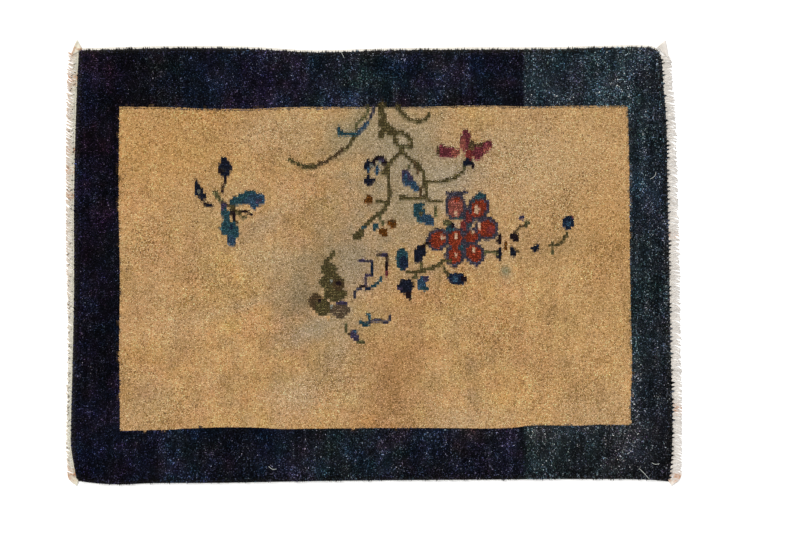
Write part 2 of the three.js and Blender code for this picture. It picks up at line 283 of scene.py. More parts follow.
wisp_shape = (KNOT_COLUMNS * WISPS_AN_END, KNOT_ROWS * ENDS_A_KNOT)
column, row = np.meshgrid((np.arange(wisp_shape[0]) + 0.5) / WISPS_AN_END,
                          (np.arange(wisp_shape[1]) + 0.5) / ENDS_A_KNOT, indexing="ij")
wisp_x, wisp_y = cloth_point(column, row)
PITCH_X = float(np.diff(wisp_x, axis=0).mean()) * WISPS_AN_END
PITCH_Y = float(np.diff(wisp_y, axis=1).mean()) * ENDS_A_KNOT
print("knots:", KNOT_COLUMNS * KNOT_ROWS, "at a pitch of", round(PITCH_X, 2), "by", round(PITCH_Y, 2), "mm")

# %% [markdown]
# ## The height of the pile
# The pile was clipped level, then walked on. Feet press and rub hollows into it, and where it is most worn a
# third of its height is gone. The waves and hollows are those of the solid, so that the pile keeps its shape.

# %% Pile height and wear
PILE_WAVES = [
    {"along_x": 310, "along_y": 240, "phase": 0.6, "height": 0.35},
    {"along_x": 170, "along_y": -130, "phase": 2.1, "height": 0.25},
    {"along_x": -94, "along_y": 160, "phase": 4.0, "height": 0.2},
]
WORN_PLACES = [
    {"x": 25, "y": 150, "half_x": 62, "half_y": 92, "depth": 3.2},
    {"x": -78, "y": -28, "half_x": 60, "half_y": 58, "depth": 2.2},
    {"x": -240, "y": 120, "half_x": 120, "half_y": 60, "depth": 0.9},
    {"x": -210, "y": -150, "half_x": 90, "half_y": 60, "depth": 0.8},
]
HOLLOW_FALL = 1.2
DEEPEST = max(place["depth"] for place in WORN_PLACES)


def hollow(x, y, place):
    """How deep a hollow is at x, y as a share of its depth: a bell curve of the distance from its middle."""
    across = (x - place["x"]) / place["half_x"]
    along = (y - place["y"]) / place["half_y"]
    return np.exp(-HOLLOW_FALL * (across**2 + along**2))


def pile_height(x, y):
    """The full height, plus three shallow waves, less each worn hollow."""
    height = np.full(np.shape(x), PILE_TOP_MM)
    for wave in PILE_WAVES:
        turns = x / wave["along_x"] + y / wave["along_y"]
        height = height + wave["height"] * np.sin(2 * np.pi * turns + wave["phase"])
    for place in WORN_PLACES:
        height = height - place["depth"] * hollow(x, y, place)
    return height


wear = sum(place["depth"] * hollow(wisp_x, wisp_y, place) for place in WORN_PLACES) / DEEPEST
print("the pile is", round(float(pile_height(wisp_x, wisp_y).min()), 1), "mm high where it is most worn")

# %% [markdown]
# ## Dyes
# The palette is small, as a dyer's was: camel, cream and ash wool left undyed, indigo from one dip (blue) to
# many (ink, navy), indigo over yellow (teal, olive, moss), madder reds and purples, bark browns and black.
# Each is the colour of the wool itself, which the light, the gaps and the painted shade between wisps then
# change.

# %% The dyer's wools
WOOLS = {
    "camel": "#D3A974", "cream": "#D8B595", "ash": "#8A8A7D", "navy": "#212533", "ink": "#263247",
    "blue": "#3E596F", "teal": "#355860", "slate": "#4F4B56", "olive": "#665B3A", "bark": "#68543A",
    "moss": "#6E6946", "umber": "#74624D", "rust": "#74471B", "crimson": "#91423D", "madder": "#99412A",
    "rose": "#A96254", "maroon": "#814046", "purple": "#50475F", "black": "#2A1F22",
}
dyes = {name: linear(colour) for name, colour in WOOLS.items()}
print(len(dyes), "wools")

# %% [markdown]
# ## Border and field
# The border is plain indigo. Hand dyeing gives no two batches the same colour, and each batch is knotted
# until it runs out, so the border changes in bands that follow the wefts, from purplish navy at the left to a
# greener batch at the right. Weavers call that abrash.

# %% Batches of border wool
# The colour at each x, at the top of the rug and at the bottom
BATCHES = [
    {"x": -440, "top": "#191928", "bottom": "#1A1B2C"},
    {"x": -310, "top": "#1C1923", "bottom": "#1D1E2D"},
    {"x": -292, "top": "#232332", "bottom": "#232E41"},
    {"x": -190, "top": "#222335", "bottom": "#181E2A"},
    {"x": -130, "top": "#292C3C", "bottom": "#252B39"},
    {"x": -45, "top": "#2D3743", "bottom": "#2C333D"},
    {"x": 20, "top": "#2D3542", "bottom": "#2A2E39"},
    {"x": 55, "top": "#242935", "bottom": "#252534"},
    {"x": 214, "top": "#1E2232", "bottom": "#272935"},
    {"x": 218, "top": "#35434D", "bottom": "#333E42"},
    {"x": 290, "top": "#36444E", "bottom": "#31373D"},
    {"x": 365, "top": "#45565F", "bottom": "#363C42"},
    {"x": 392, "top": "#36424C", "bottom": "#2A3037"},
    {"x": 402, "top": "#313D46", "bottom": "#272B31"},
    {"x": 440, "top": "#323F4B", "bottom": "#252B33"},
]
BORDER_LOW_MM, BORDER_TALL_MM = -310, 620


def batch_colour(x, y):
    """The border's colour: the batches at the top and bottom, each eased along x, blended by the height y."""
    places = [batch["x"] for batch in BATCHES]
    up = np.clip((y - BORDER_LOW_MM) / BORDER_TALL_MM, 0, 1)[..., None]
    ends = []
    for end in ("bottom", "top"):
        colours = np.array([linear(batch[end]) for batch in BATCHES])
        ends.append(np.stack([np.interp(x, places, colours[:, k]) for k in range(3)], axis=-1))
    return ends[0] * (1 - up) + ends[1] * up


print(len(BATCHES), "places where a colour of the border is given")

# %% [markdown]
# One batch isn't even either. Its light, its red and its blue drift in clouds, and its light changes from one
# weft to the next. The camel wool of the field drifts in the same way, but less. Where the two wools meet,
# the line between them strays by part of a knot.

# %% Drift of the wools, and the field inside the border
CLOUDS_MM = (12, 25, 50)
ROW_MM, ROW_STRETCH = 4.2, 0.06
FIELD_DRIFT = {"light": 0.1, "red": 0.04, "blue": 0.06, "rows": 0.09}
BORDER_DRIFT = {"light": 0.33, "red": 0.32, "blue": 0.18, "rows": 0.42}
GREEN_BATCH_X, GREEN_BATCH_DRIFT = 216, 0.45


def row_bands(seed):
    """Clouds one knot wide and many knots long, drawn out along the wefts."""
    return cloudy(wisp_x, ROW_STRETCH * wisp_y, ROW_MM, seed)


def uneven(colour, drift, seed):
    """The colour times e to its drifts. Its light, its red and its blue drift over clouds of three sizes, and
    its light also changes with bands along the wefts. Red and blue drift less in the greener batch."""
    light, red, blue = [sum(drift[part] * cloudy(wisp_x, wisp_y, size, seed + 10 * place + size)
                            for size in CLOUDS_MM) for place, part in enumerate(("light", "red", "blue"))]
    light = light + drift["rows"] * row_bands(seed)
    calm = np.where(wisp_x < GREEN_BATCH_X, 1, GREEN_BATCH_DRIFT)
    red, blue = calm * red, calm * blue
    return colour * np.exp(np.stack([light + red, light, light + blue], axis=-1))


STRAY_FINE, STRAY_BROAD = 0.25, 0.2
stray = STRAY_FINE * cloudy(wisp_x, wisp_y, 2.1, 61) + STRAY_BROAD * cloudy(wisp_x, wisp_y, 9, 62)
in_field = ((column + stray > FIELD_COLUMNS[0]) & (column + stray < FIELD_COLUMNS[1])
            & (row + stray > FIELD_ROWS[0]) & (row + stray < FIELD_ROWS[1]))
camel = uneven(dyes["camel"], FIELD_DRIFT, 3)
border = uneven(batch_colour(wisp_x, wisp_y), BORDER_DRIFT, 5)
shades = np.where(in_field[..., None], camel, border)
print("wisps in the field:", int(in_field.sum()), "and in the border:", int((~in_field).sum()))

# %% [markdown]
# ## Stains and faded places
# Use has left its marks on the camel wool: greyed, greenish wool round the branches where the pile is thin, a
# dark halo beside the small plant, pale streaks below it, and lighter and browner places all over. Each mark
# is a soft oval with a ragged edge.

# %% Stains
STAINS = [
    {"x": -300, "y": 165, "long": 130, "wide": 75, "turn": 0, "to": "#D6A566", "amount": 0.6},
    {"x": 255, "y": 130, "long": 130, "wide": 95, "turn": 0, "to": "#D8B486", "amount": 0.75},
    {"x": -330, "y": -215, "long": 60, "wide": 30, "turn": 0, "to": "#CDAC80", "amount": 0.6},
    {"x": 34, "y": 160, "long": 84, "wide": 70, "turn": 90, "to": "#AC9F84", "amount": 0.92},
    {"x": -35, "y": 185, "long": 50, "wide": 30, "turn": 35, "to": "#ACA080", "amount": 0.8},
    {"x": 40, "y": 75, "long": 66, "wide": 50, "turn": -20, "to": "#AA9C7E", "amount": 0.75},
    {"x": 112, "y": 122, "long": 60, "wide": 34, "turn": 15, "to": "#B7AA92", "amount": 0.8},
    {"x": -28, "y": 0, "long": 60, "wide": 44, "turn": 80, "to": "#AD9E84", "amount": 0.85},
    {"x": -106, "y": -46, "long": 42, "wide": 34, "turn": 80, "to": "#8F8268", "amount": 0.85},
    {"x": -80, "y": 0, "long": 46, "wide": 26, "turn": 10, "to": "#92876A", "amount": 0.5},
    {"x": -88, "y": -96, "long": 46, "wide": 15, "turn": 25, "to": "#BBA98E", "amount": 0.8},
    {"x": -62, "y": -140, "long": 70, "wide": 14, "turn": 50, "to": "#C3A377", "amount": 0.6},
    {"x": -190, "y": -62, "long": 105, "wide": 8, "turn": 17, "to": "#CFB48C", "amount": 0.55},
    {"x": -155, "y": 55, "long": 50, "wide": 12, "turn": 40, "to": "#C9B08A", "amount": 0.6},
    {"x": -195, "y": 36, "long": 55, "wide": 22, "turn": 20, "to": "#B4946A", "amount": 0.4},
    {"x": -215, "y": 78, "long": 56, "wide": 38, "turn": 0, "to": "#BFA67F", "amount": 0.5},
    {"x": -145, "y": 186, "long": 50, "wide": 28, "turn": 0, "to": "#DDBB92", "amount": 0.6},
    {"x": -140, "y": 2, "long": 42, "wide": 30, "turn": 0, "to": "#D6B990", "amount": 0.6},
    {"x": -300, "y": -40, "long": 58, "wide": 90, "turn": 0, "to": "#DCB381", "amount": 0.5},
    {"x": -110, "y": -190, "long": 44, "wide": 22, "turn": 0, "to": "#DCBC96", "amount": 0.6},
    {"x": -45, "y": -105, "long": 76, "wide": 22, "turn": 85, "to": "#B9A586", "amount": 0.5},
    {"x": 59, "y": -118, "long": 56, "wide": 26, "turn": 90, "to": "#B58B5D", "amount": 0.45},
    {"x": 60, "y": -12, "long": 38, "wide": 22, "turn": 10, "to": "#A8967A", "amount": 0.55},
    {"x": 160, "y": 22, "long": 40, "wide": 28, "turn": 0, "to": "#B59E84", "amount": 0.5},
    {"x": 205, "y": 150, "long": 46, "wide": 42, "turn": 0, "to": "#DBBA90", "amount": 0.55},
    {"x": 335, "y": 60, "long": 50, "wide": 78, "turn": 0, "to": "#D2A268", "amount": 0.6},
    {"x": 325, "y": -218, "long": 62, "wide": 26, "turn": 0, "to": "#DEBA8D", "amount": 0.6},
    {"x": 125, "y": -224, "long": 44, "wide": 18, "turn": 0, "to": "#DEBC94", "amount": 0.6},
    {"x": -95, "y": 128, "long": 26, "wide": 16, "turn": 0, "to": "#B18D66", "amount": 0.4},
    {"x": 28, "y": -165, "long": 75, "wide": 34, "turn": 90, "to": "#B08557", "amount": 0.65},
    {"x": 165, "y": -90, "long": 70, "wide": 34, "turn": -30, "to": "#C79A6B", "amount": 0.3},
    {"x": 262, "y": 20, "long": 52, "wide": 24, "turn": 20, "to": "#A28A5F", "amount": 0.4},
    {"x": 189, "y": -12, "long": 9, "wide": 9, "turn": 90, "to": "#7F8E74", "amount": 0.75},
]
ragged = 1 + 0.35 * cloudy(wisp_x, wisp_y, 15, 11) + 0.2 * cloudy(wisp_x, wisp_y, 6, 12)
for mark in STAINS:
    turn = np.radians(mark["turn"])
    across, up = wisp_x - mark["x"], wisp_y - mark["y"]
    along = (across * np.cos(turn) + up * np.sin(turn)) / mark["long"]
    beside = (up * np.cos(turn) - across * np.sin(turn)) / mark["wide"]
    amount = mark["amount"] * np.exp(-(along**2 + beside**2) * ragged) * in_field
    shades = shades * (1 - amount[..., None]) + linear(mark["to"]) * amount[..., None]
print(len(STAINS), "stains")

# %% [markdown]
# ## Drawing with wool
# A weaver changes the colour from knot to knot, and the wisps of neighbouring knots mingle, which softens the
# steps. So a wisp takes its dye from a place between its own and the middle of its knot. Two strokes are
# enough here. A stem is a smooth line as wide as it is given, and a petal is an oval that can be drawn out to
# a point. Both colour the wisps that they cover, and later strokes lie over earlier ones.

# %% Stems and petals
KNOT_SHARE = 0.6
STEM_SAMPLES = 50

knot_x, knot_y = cloth_point(np.floor(column) + 0.5, np.floor(row) + 0.5)
drawn_x = KNOT_SHARE * knot_x + (1 - KNOT_SHARE) * wisp_x
drawn_y = KNOT_SHARE * knot_y + (1 - KNOT_SHARE) * wisp_y


def stem(dye, width, points):
    """Colours the wisps within half the width of a smooth line."""
    line = smooth_line(points, STEM_SAMPLES)
    low, high = line.min(axis=0) - width, line.max(axis=0) + width
    near = np.nonzero((drawn_x > low[0]) & (drawn_x < high[0]) & (drawn_y > low[1]) & (drawn_y < high[1]))
    away_x = drawn_x[near][:, None] - line[:, 0]
    away_y = drawn_y[near][:, None] - line[:, 1]
    covered = np.hypot(away_x, away_y).min(axis=1) < width / 2
    shades[near[0][covered], near[1][covered]] = dyes[dye]


def petal(dye, x, y, length, width, turn=0.0, point=0.0):
    """Colours the wisps in an oval. Its half width is that of an ellipse, times 1 less point times the share
    along it."""
    angle = np.radians(turn)
    along = ((drawn_x - x) * np.cos(angle) + (drawn_y - y) * np.sin(angle)) / (length / 2)
    beside = ((drawn_y - y) * np.cos(angle) - (drawn_x - x) * np.sin(angle)) / (width / 2)
    room = np.sqrt(np.clip(1 - along**2, 0, 1)) * (1 - point * along)
    shades[(np.abs(along) <= 1) & (np.abs(beside) <= room)] = dyes[dye]


print("a wisp takes its dye from up to", round(float(np.abs(drawn_x - wisp_x).max()), 1), "mm beside it")

# %% [markdown]
# ## The loose spray at the left
# Two navy buds on thin stems and two blue leaves, held by a few olive knots.

# %% Left spray
stem("black", 4, [(-212, 122), (-214, 112), (-215, 101)])
petal("navy", -213, 136.5, 32, 17, 92, 0.4)
petal("black", -219, 131, 12, 6, 80)
petal("navy", -205, 137, 11, 5, 100)
petal("ash", -214, 131, 3.5, 5)
petal("navy", -252, 105, 25, 9, 98)
petal("navy", -246, 98, 22, 10, 108)
petal("ash", -249, 101, 3, 6)
stem("black", 3.4, [(-246, 89), (-241, 85), (-236, 83)])
petal("navy", -235, 81.5, 13, 7)
stem("moss", 7, [(-226, 99), (-222, 93), (-217, 86)])
stem("bark", 6, [(-217, 85), (-209, 82), (-203, 83)])
stem("purple", 9, [(-214, 81), (-213, 74)])
stem("teal", 11, [(-212, 72), (-210, 61)])
stem("olive", 7, [(-203, 84), (-200, 75), (-192, 71)])
stem("black", 5.5, [(-202, 73), (-200, 62)])
petal("teal", -188, 90, 36, 16, 16)
petal("teal", -178, 94, 24, 18, 20)
petal("blue", -168, 90, 28, 20, 5)
petal("blue", -171, 81, 12, 10)
petal("camel", -167, 101.5, 5, 3)
petal("purple", -165, 88, 8, 7)
petal("blue", -182, 86, 16, 8, 10)
stem("black", 4.2, [(-189, 74), (-182, 72), (-175, 70)])
petal("moss", -186, 64, 9, 6)
petal("bark", -195, 58, 5, 4)
petal("teal", -207, 49, 26, 23)
petal("teal", -201, 41, 20, 17)
petal("blue", -203, 31, 17, 12, 95)
petal("ink", -204, 50, 6, 9)
print("left spray drawn")

# %% [markdown]
# ## The branch that enters from the top edge
# Olive wood comes down from the border, forks, and thins out into twigs, with an arched twig to each side.

# %% Branch and twigs
stem("olive", 6, [(-121, 147), (-113, 143), (-106, 139)])
stem("olive", 7.4, [(-107, 139), (-94, 137), (-81, 138)])
stem("bark", 6, [(-78, 140), (-68, 144), (-58, 150), (-50, 155), (-42, 162)])
stem("olive", 5.6, [(-42, 161), (-35, 168), (-27, 178)])
stem("moss", 4.2, [(-8, 222), (-9, 213), (-16, 205), (-23, 199), (-26, 191)])
stem("teal", 7, [(-50, 191), (-48, 185), (-38, 183), (-24, 183)])
stem("blue", 6, [(-22, 185), (-17, 190), (-12, 195), (-9, 200)])
petal("ink", -5, 207, 5, 8)
stem("slate", 5, [(1, 222), (-1, 215), (-4, 210)])
stem("olive", 9.5, [(12, 226), (12, 214), (14, 204)])
petal("olive", 18, 193, 30, 16, -52)
petal("olive", 12, 185, 17, 10, 75)
petal("olive", 27, 186, 20, 11, -20)
stem("olive", 6, [(33, 187), (43, 184), (50, 179), (54, 171), (52, 163)])
stem("olive", 7, [(29, 182), (31, 173), (36, 166), (41, 160)])
stem("moss", 5, [(38, 167), (45, 166), (51, 163)])
stem("olive", 6, [(40, 160), (34, 152), (28, 146), (24, 141)])
stem("olive", 6.4, [(21, 141), (20, 128), (22, 112), (23, 98), (21, 86), (16, 77), (10, 71), (0, 64),
                    (-8, 57), (-17, 47)])
petal("olive", 15, 130, 15, 8, 45)
petal("olive", -22, 39, 20, 13, 42)
petal("teal", -13, 50, 7, 5)
stem("olive", 6.5, [(5, 87), (12, 87), (18, 84)])
stem("moss", 4.6, [(10, 71), (10, 62), (14, 55)])
stem("olive", 6.6, [(41, 157), (49, 150), (57, 144), (62, 140)])
stem("bark", 5, [(59, 141), (62, 133), (64, 126)])
stem("olive", 6, [(62, 141), (68, 134), (72, 125), (73, 114), (75, 104), (76, 94)])
stem("bark", 4, [(68, 106), (67, 96)])
stem("olive", 6, [(75, 116), (90, 115), (108, 118), (119, 123), (127, 129)])
stem("moss", 4, [(129, 133), (128, 140)])
stem("olive", 7, [(40, 92), (58, 91), (74, 92)])
stem("olive", 5.6, [(72, 91), (86, 87), (98, 87)])
stem("moss", 4.6, [(88, 79), (90, 67)])
petal("moss", 105, 57, 12, 8)
stem("olive", 7, [(34, 223), (40, 213), (48, 206)])
stem("olive", 6, [(47, 206), (57, 202), (69, 202), (76, 207), (80, 212)])
print("branch drawn")

# %% [markdown]
# ## Small blossoms and leaves on the branch
# Navy and purple blossoms hang at the left of the fork, with rust ones under them, and two leaves hang at its
# right. The maroon flower opens at the end of the upper twig.

# %% Blossoms and leaves of the branch
petal("navy", -8, 138, 18, 10, 90)
petal("navy", -4, 143, 7, 5)
petal("blue", -7, 133, 6, 6)
stem("black", 6.4, [(0, 141), (3, 148), (9, 150), (14, 147), (15, 141)])
petal("purple", 12, 146, 8, 6)
petal("blue", 5, 132, 14, 8, 85)
petal("ash", -2, 139, 5, 4)
petal("ash", 8, 142, 6, 4)
petal("navy", -7, 116, 15, 13)
petal("navy", -7, 123, 6, 7)
petal("navy", -2, 117, 8, 7)
petal("purple", 48, 121, 27, 15, -68)
petal("blue", 45, 118, 22, 6, 88)
petal("blue", 57, 110, 20, 11, -52)
petal("moss", 50, 137, 5, 6)
petal("teal", 66, 70, 31, 17, -68)
petal("blue", 77, 61, 25, 15, -38)
petal("teal", 68, 82, 9, 9)
petal("olive", 68, 70, 7, 6)
petal("teal", 2, 51, 13, 8, 75)
petal("rust", -7, 89, 14, 11, 75)
petal("rust", 27, 56, 14, 13)
petal("rust", 14, 43, 16, 12, -55)
petal("bark", 28, 60, 6, 5)
petal("maroon", 98, 159, 20, 18)
petal("maroon", 110, 157, 26, 15)
petal("rose", 117, 157, 13, 12)
petal("bark", 93, 159, 5, 12)
petal("maroon", 131, 175, 32, 14, 82)
petal("rose", 128, 170, 18, 9, 85)
petal("bark", 140, 168, 16, 7, 80)
petal("crimson", 137, 154, 14, 15)
petal("maroon", 156, 163, 32, 15, 28)
petal("maroon", 151, 154, 18, 13, 40)
petal("bark", 150, 169, 16, 5, 10)
petal("rose", 162, 163, 12, 5, 30)
petal("navy", 135, 142, 17, 8)
petal("navy", 134, 146, 8, 8)
petal("black", 143, 139, 5, 8)
print("blossoms of the branch drawn")

# %% [markdown]
# ## The red flower head
# Nine red petals, eight of them with a cream centre, each outlined in slate. A loop draws the outlines first,
# another the red, and a third the centres, because all petals are made alike and the outlines lie lowest.

# %% Red flower head
FLOWER_OUTLINE = 10.0
RED_PETALS = [
    {"dye": "rose", "x": 117, "y": 80, "long": 30, "wide": 21, "turn": 88, "centre": (119, 70, 9, 4)},
    {"dye": "madder", "x": 150, "y": 78, "long": 27, "wide": 21, "turn": 72, "centre": (148, 76, 13, 6)},
    {"dye": "crimson", "x": 136, "y": 65, "long": 15, "wide": 9, "turn": 100, "centre": None},
    {"dye": "madder", "x": 162, "y": 48, "long": 25, "wide": 24, "turn": 20, "centre": (152, 52, 12, 5)},
    {"dye": "madder", "x": 140, "y": 37, "long": 20, "wide": 15, "turn": 10, "centre": (141, 44, 10, 4)},
    {"dye": "madder", "x": 117, "y": 34, "long": 25, "wide": 19, "turn": 88, "centre": (117, 38, 12, 4)},
    {"dye": "madder", "x": 92, "y": 33, "long": 25, "wide": 21, "turn": 40, "centre": (99, 36, 8, 5)},
    {"dye": "madder", "x": 116, "y": 10, "long": 22, "wide": 19, "turn": 85, "centre": (117, 12, 10, 3)},
    {"dye": "madder", "x": 144, "y": 13, "long": 25, "wide": 20, "turn": -50, "centre": (143, 19, 8, 5)},
]
stem("slate", 9, [(130, 78), (131, 55), (129, 30), (128, 16)])
for red in RED_PETALS:
    petal("slate", red["x"], red["y"], red["long"] + FLOWER_OUTLINE, red["wide"] + FLOWER_OUTLINE,
          red["turn"])
stem("slate", 7, [(107, 98), (119, 99), (132, 100)])
stem("teal", 7, [(145, 88), (152, 97), (157, 95)])
petal("purple", 163, 79, 7, 9)
petal("teal", 109, 48, 14, 8)
petal("teal", 122, 64, 12, 5)
stem("slate", 6, [(140, 2), (147, -3)])
petal("purple", 148, -4, 6, 6)
for red in RED_PETALS:
    petal(red["dye"], red["x"], red["y"], red["long"], red["wide"], red["turn"])
petal("crimson", 129, 53, 15, 8, 100)
petal("crimson", 167, 46, 14, 12)
petal("madder", 119, 91, 10, 8)
petal("cream", 120, 55, 10, 8)
for red in RED_PETALS:
    if red["centre"]:
        centre_x, centre_y, tall, wide = red["centre"]
        petal("cream", centre_x, centre_y, tall, wide, 100)
petal("black", 112, 54, 12, 5, 90)
petal("teal", 126, 21, 9, 7)
petal("teal", 137, 53, 5, 7)
print(len(RED_PETALS), "red petals drawn")

# %% [markdown]
# ## Leaves under the flower head, and the sprig at its right
# Dark leaves hang from an olive twig. To the right a small four-petalled blossom, a few dots and a round bud.

# %% Leaves and sprig
stem("olive", 6, [(50, -14), (60, -13), (72, -11), (85, -7), (95, -2), (101, 3), (110, 2)])
stem("olive", 5.4, [(61, -15), (57, -22)])
stem("olive", 4.4, [(100, -6), (103, -13), (108, -17)])
petal("teal", 41, 5, 33, 19, 96)
petal("ink", 43, 0, 22, 12, 96)
petal("navy", 65, 12, 28, 16, 74)
petal("navy", 72, 14, 9, 10)
stem("black", 4.4, [(70, 22), (76, 27), (80, 29)])
stem("olive", 4.6, [(67, 0), (68, -8)])
petal("navy", 46, -34, 24, 22, 60)
petal("navy", 42, -38, 18, 12, -35)
petal("black", 51, -47, 13, 9, -70)
petal("purple", 38, -37, 8, 6)
petal("blue", 70, -29, 22, 14, 75)
petal("purple", 75, -22, 10, 8)
petal("teal", 73, -37, 15, 8)
petal("moss", 62, -21, 5, 5)
petal("camel", 79, -30, 6, 5)
petal("ink", 119, -23, 27, 19, -12)
petal("black", 129, -23, 10, 10)
petal("blue", 117, -22, 9, 9)
petal("black", 180, 33, 15, 8, 78)
petal("black", 202, 36, 14, 11, 120)
petal("navy", 180, 12, 19, 9, 88)
petal("navy", 199, 15, 17, 8, 100)
stem("rust", 4.6, [(190, 29), (188, 20)])
stem("moss", 5, [(160, 14), (168, 15), (176, 13)])
petal("bark", 207, 15, 9, 4, -20)
stem("bark", 4.6, [(202, 43), (207, 49), (213, 53)])
petal("moss", 219, 56, 10, 7, 70)
petal("purple", 212, 64, 9, 8)
petal("navy", 231, 20, 11, 9)
petal("ink", 234, 25, 5, 6)
petal("ink", 278, 57, 20, 18, 80)
petal("blue", 279, 55, 7, 6)
petal("ink", 284, 64, 8, 7)
petal("maroon", 286, 66, 4, 5)
stem("olive", 5.4, [(276, 42), (272, 33), (266, 27), (257, 24)])
petal("olive", 255, 25, 8, 9)
petal("moss", 256, 16, 5, 8)
print("leaves and sprig drawn")

# %% [markdown]
# ## The small plant and the broken outline beside it
# A squat brown and olive plant stands alone, half lost in a stain. Beside it are the remains of a thin purple
# outline and a few stray knots of green and navy.

# %% Plant, outline and stray knots
stem("olive", 6.5, [(-57, 15), (-61, 8), (-67, 3)])
petal("olive", -64, -10, 24, 21)
petal("olive", -60, -28, 35, 26)
petal("olive", -55, -45, 34, 20)
petal("bark", -51, -31, 18, 16)
petal("bark", -82, -56, 24, 22, -30)
petal("olive", -72, -64, 24, 24, 70)
petal("umber", -48, -68, 28, 22)
petal("purple", -45, -57, 16, 6)
petal("black", -50, -29, 8, 7)
petal("ash", -61, -27, 5, 5)
petal("black", -78, -55, 4, 6)
petal("ash", -61, -63, 4, 6)
petal("camel", -66, -79, 5, 8)
stem("purple", 4.4, [(-21, 3), (-15, 4), (-10, 3)])
stem("slate", 4.4, [(-10, 2), (-3, 3)])
stem("ink", 3.8, [(-1, 0), (-2, -9), (-3, -17)])
stem("purple", 4.4, [(-12, -19), (-5, -19)])
stem("purple", 4.2, [(-12, -20), (-12, -34)])
stem("black", 3.4, [(-12, -34), (-19, -35)])
stem("slate", 4.4, [(-20, -37), (-26, -41), (-27, -49)])
stem("ink", 4.4, [(-10, -37), (-2, -35)])
stem("teal", 4.4, [(-2, -35), (6, -29), (11, -23)])
petal("bark", -26, -28, 6, 4)
stem("umber", 5, [(6, 12), (12, 12)])
stem("purple", 5, [(12, 12), (18, 12)])
stem("black", 4.4, [(20, 9), (20, -4), (19, -12)])
stem("maroon", 4.4, [(20, -13), (17, -20)])
stem("moss", 5, [(-40, -88), (-39, -99)])
petal("bark", -35, -101, 6, 4)
petal("purple", -27, -104, 16, 10, -65)
petal("blue", -26, -98, 6, 7)
petal("moss", -18, -113, 14, 7)
stem("teal", 5.4, [(-20, -84), (-13, -88), (-5, -87)])
stem("teal", 5, [(-8, -74), (-5, -82)])
stem("slate", 4.6, [(-5, -84), (6, -83), (16, -84), (22, -83), (24, -76)])
print("plant and stray knots drawn")

# %% [markdown]
# ## From knots to meshes
# Every piece below is a mesh from whole arrays of points and faces. A colour for each point or each face
# corner is kept in the mesh, and so are maps that say where a point lies on its yarn or its cloth.

# %% Make a mesh piece
def make_piece(name, points, faces, materials, colours=None, corner_colours=None, maps=None,
               finish=0):
    """A smooth mesh object at the origin from points in millimetres and a list of face arrays. Finish is the
    number of the material that each face takes."""
    mesh = bpy.data.meshes.new(name)
    sizes = np.concatenate([np.full(len(group), group.shape[1]) for group in faces])
    corners = np.concatenate([group.reshape(-1) for group in faces])
    mesh.vertices.add(len(points))
    mesh.vertices.foreach_set("co", (np.asarray(points, float) / 1000).astype(np.float32).reshape(-1))
    mesh.loops.add(len(corners))
    mesh.loops.foreach_set("vertex_index", corners.astype(np.int32))
    mesh.polygons.add(len(sizes))
    mesh.polygons.foreach_set("loop_start", (np.cumsum(sizes) - sizes).astype(np.int32))
    mesh.polygons.foreach_set("use_smooth", np.ones(len(sizes), bool))
    mesh.polygons.foreach_set("material_index", (np.zeros(len(sizes)) + finish).astype(np.int32))
    mesh.update(calc_edges=True)
    values = colours if corner_colours is None else corner_colours
    kind = "POINT" if corner_colours is None else "CORNER"
    paint_layer = mesh.color_attributes.new("dye", "FLOAT_COLOR", kind)
    opaque = np.concatenate([values, np.ones((len(values), 1))], axis=1)
    paint_layer.data.foreach_set("color", opaque.astype(np.float32).reshape(-1))
    for map_name, places in (maps or {}).items():
        mesh.uv_layers.new(name=map_name).data.foreach_set("uv", places.astype(np.float32).reshape(-1))
    for material in materials:
        mesh.materials.append(material)
    piece = bpy.data.objects.new(name, mesh)
    bpy.context.scene.collection.objects.link(piece)
    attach(piece, "root")
    return piece


def cells(count):
    """Lower left corners of count equal squares that fill the unit square in rows, and their side."""
    across = int(np.ceil(np.sqrt(count)))
    number = np.arange(count)
    return np.stack([number % across, number // across], axis=1) / across, 1 / across


print("of nine squares in the unit square, each has a side of", round(cells(9)[1], 2))

# %% [markdown]
# ## Wool pile
# The finish is dyed carpet wool, spun loosely and cut across, so each end opens into a soft brush. To the eye
# that is matt, with a faint bloom where fibre tips catch the light. Single fibres are far too fine to see, so
# the noise starts at wisps of 1.6 mm, which show from above, and its finer steps still read as fibre in a
# close view.

# %% Wool material
FIBRE_MM = 1.6

wool, tree = new_material("hand-knotted wool pile")
wool_dye = add(tree, "ShaderNodeAttribute", attribute_name="dye")
wool_place = add(tree, "ShaderNodeTexCoord")
fibres = add(tree, "ShaderNodeTexNoise", {
    "Vector": wool_place.outputs["Object"], "Scale": 1000 / FIBRE_MM, "Detail": 3.0, "Roughness": 0.65})
lightness = add(tree, "ShaderNodeMapRange", {
    "Value": fibres.outputs["Fac"], "From Min": 0.3, "From Max": 0.7, "To Min": 0.84, "To Max": 1.16})
fibre_colour = add(tree, "ShaderNodeVectorMath", {
    0: wool_dye.outputs["Color"], "Scale": lightness.outputs["Result"]}, operation="SCALE")
nap = add(tree, "ShaderNodeBump", {"Height": fibres.outputs["Fac"], "Strength": 0.5, "Distance": 0.0004})
wool_finish = add(tree, "ShaderNodeBsdfPrincipled", {
    "Base Color": fibre_colour.outputs["Vector"], "Roughness": 0.95, "Specular IOR Level": 0.02,
    "Sheen Weight": 0.01, "Sheen Roughness": 0.6, "Normal": nap.outputs["Normal"]})
add(tree, "ShaderNodeOutputMaterial", {"Surface": wool_finish.outputs["BSDF"]})
print("wool has wisps of", FIBRE_MM, "mm")

# %% [markdown]
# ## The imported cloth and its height
# Warps, wefts and the lower part of the pile are packed into one firm cloth. Its upper side lies just under
# the tips, so the scene needs only the free ends above it. Towards the rim it slopes down, since the
# outermost ends have nothing to lean on.

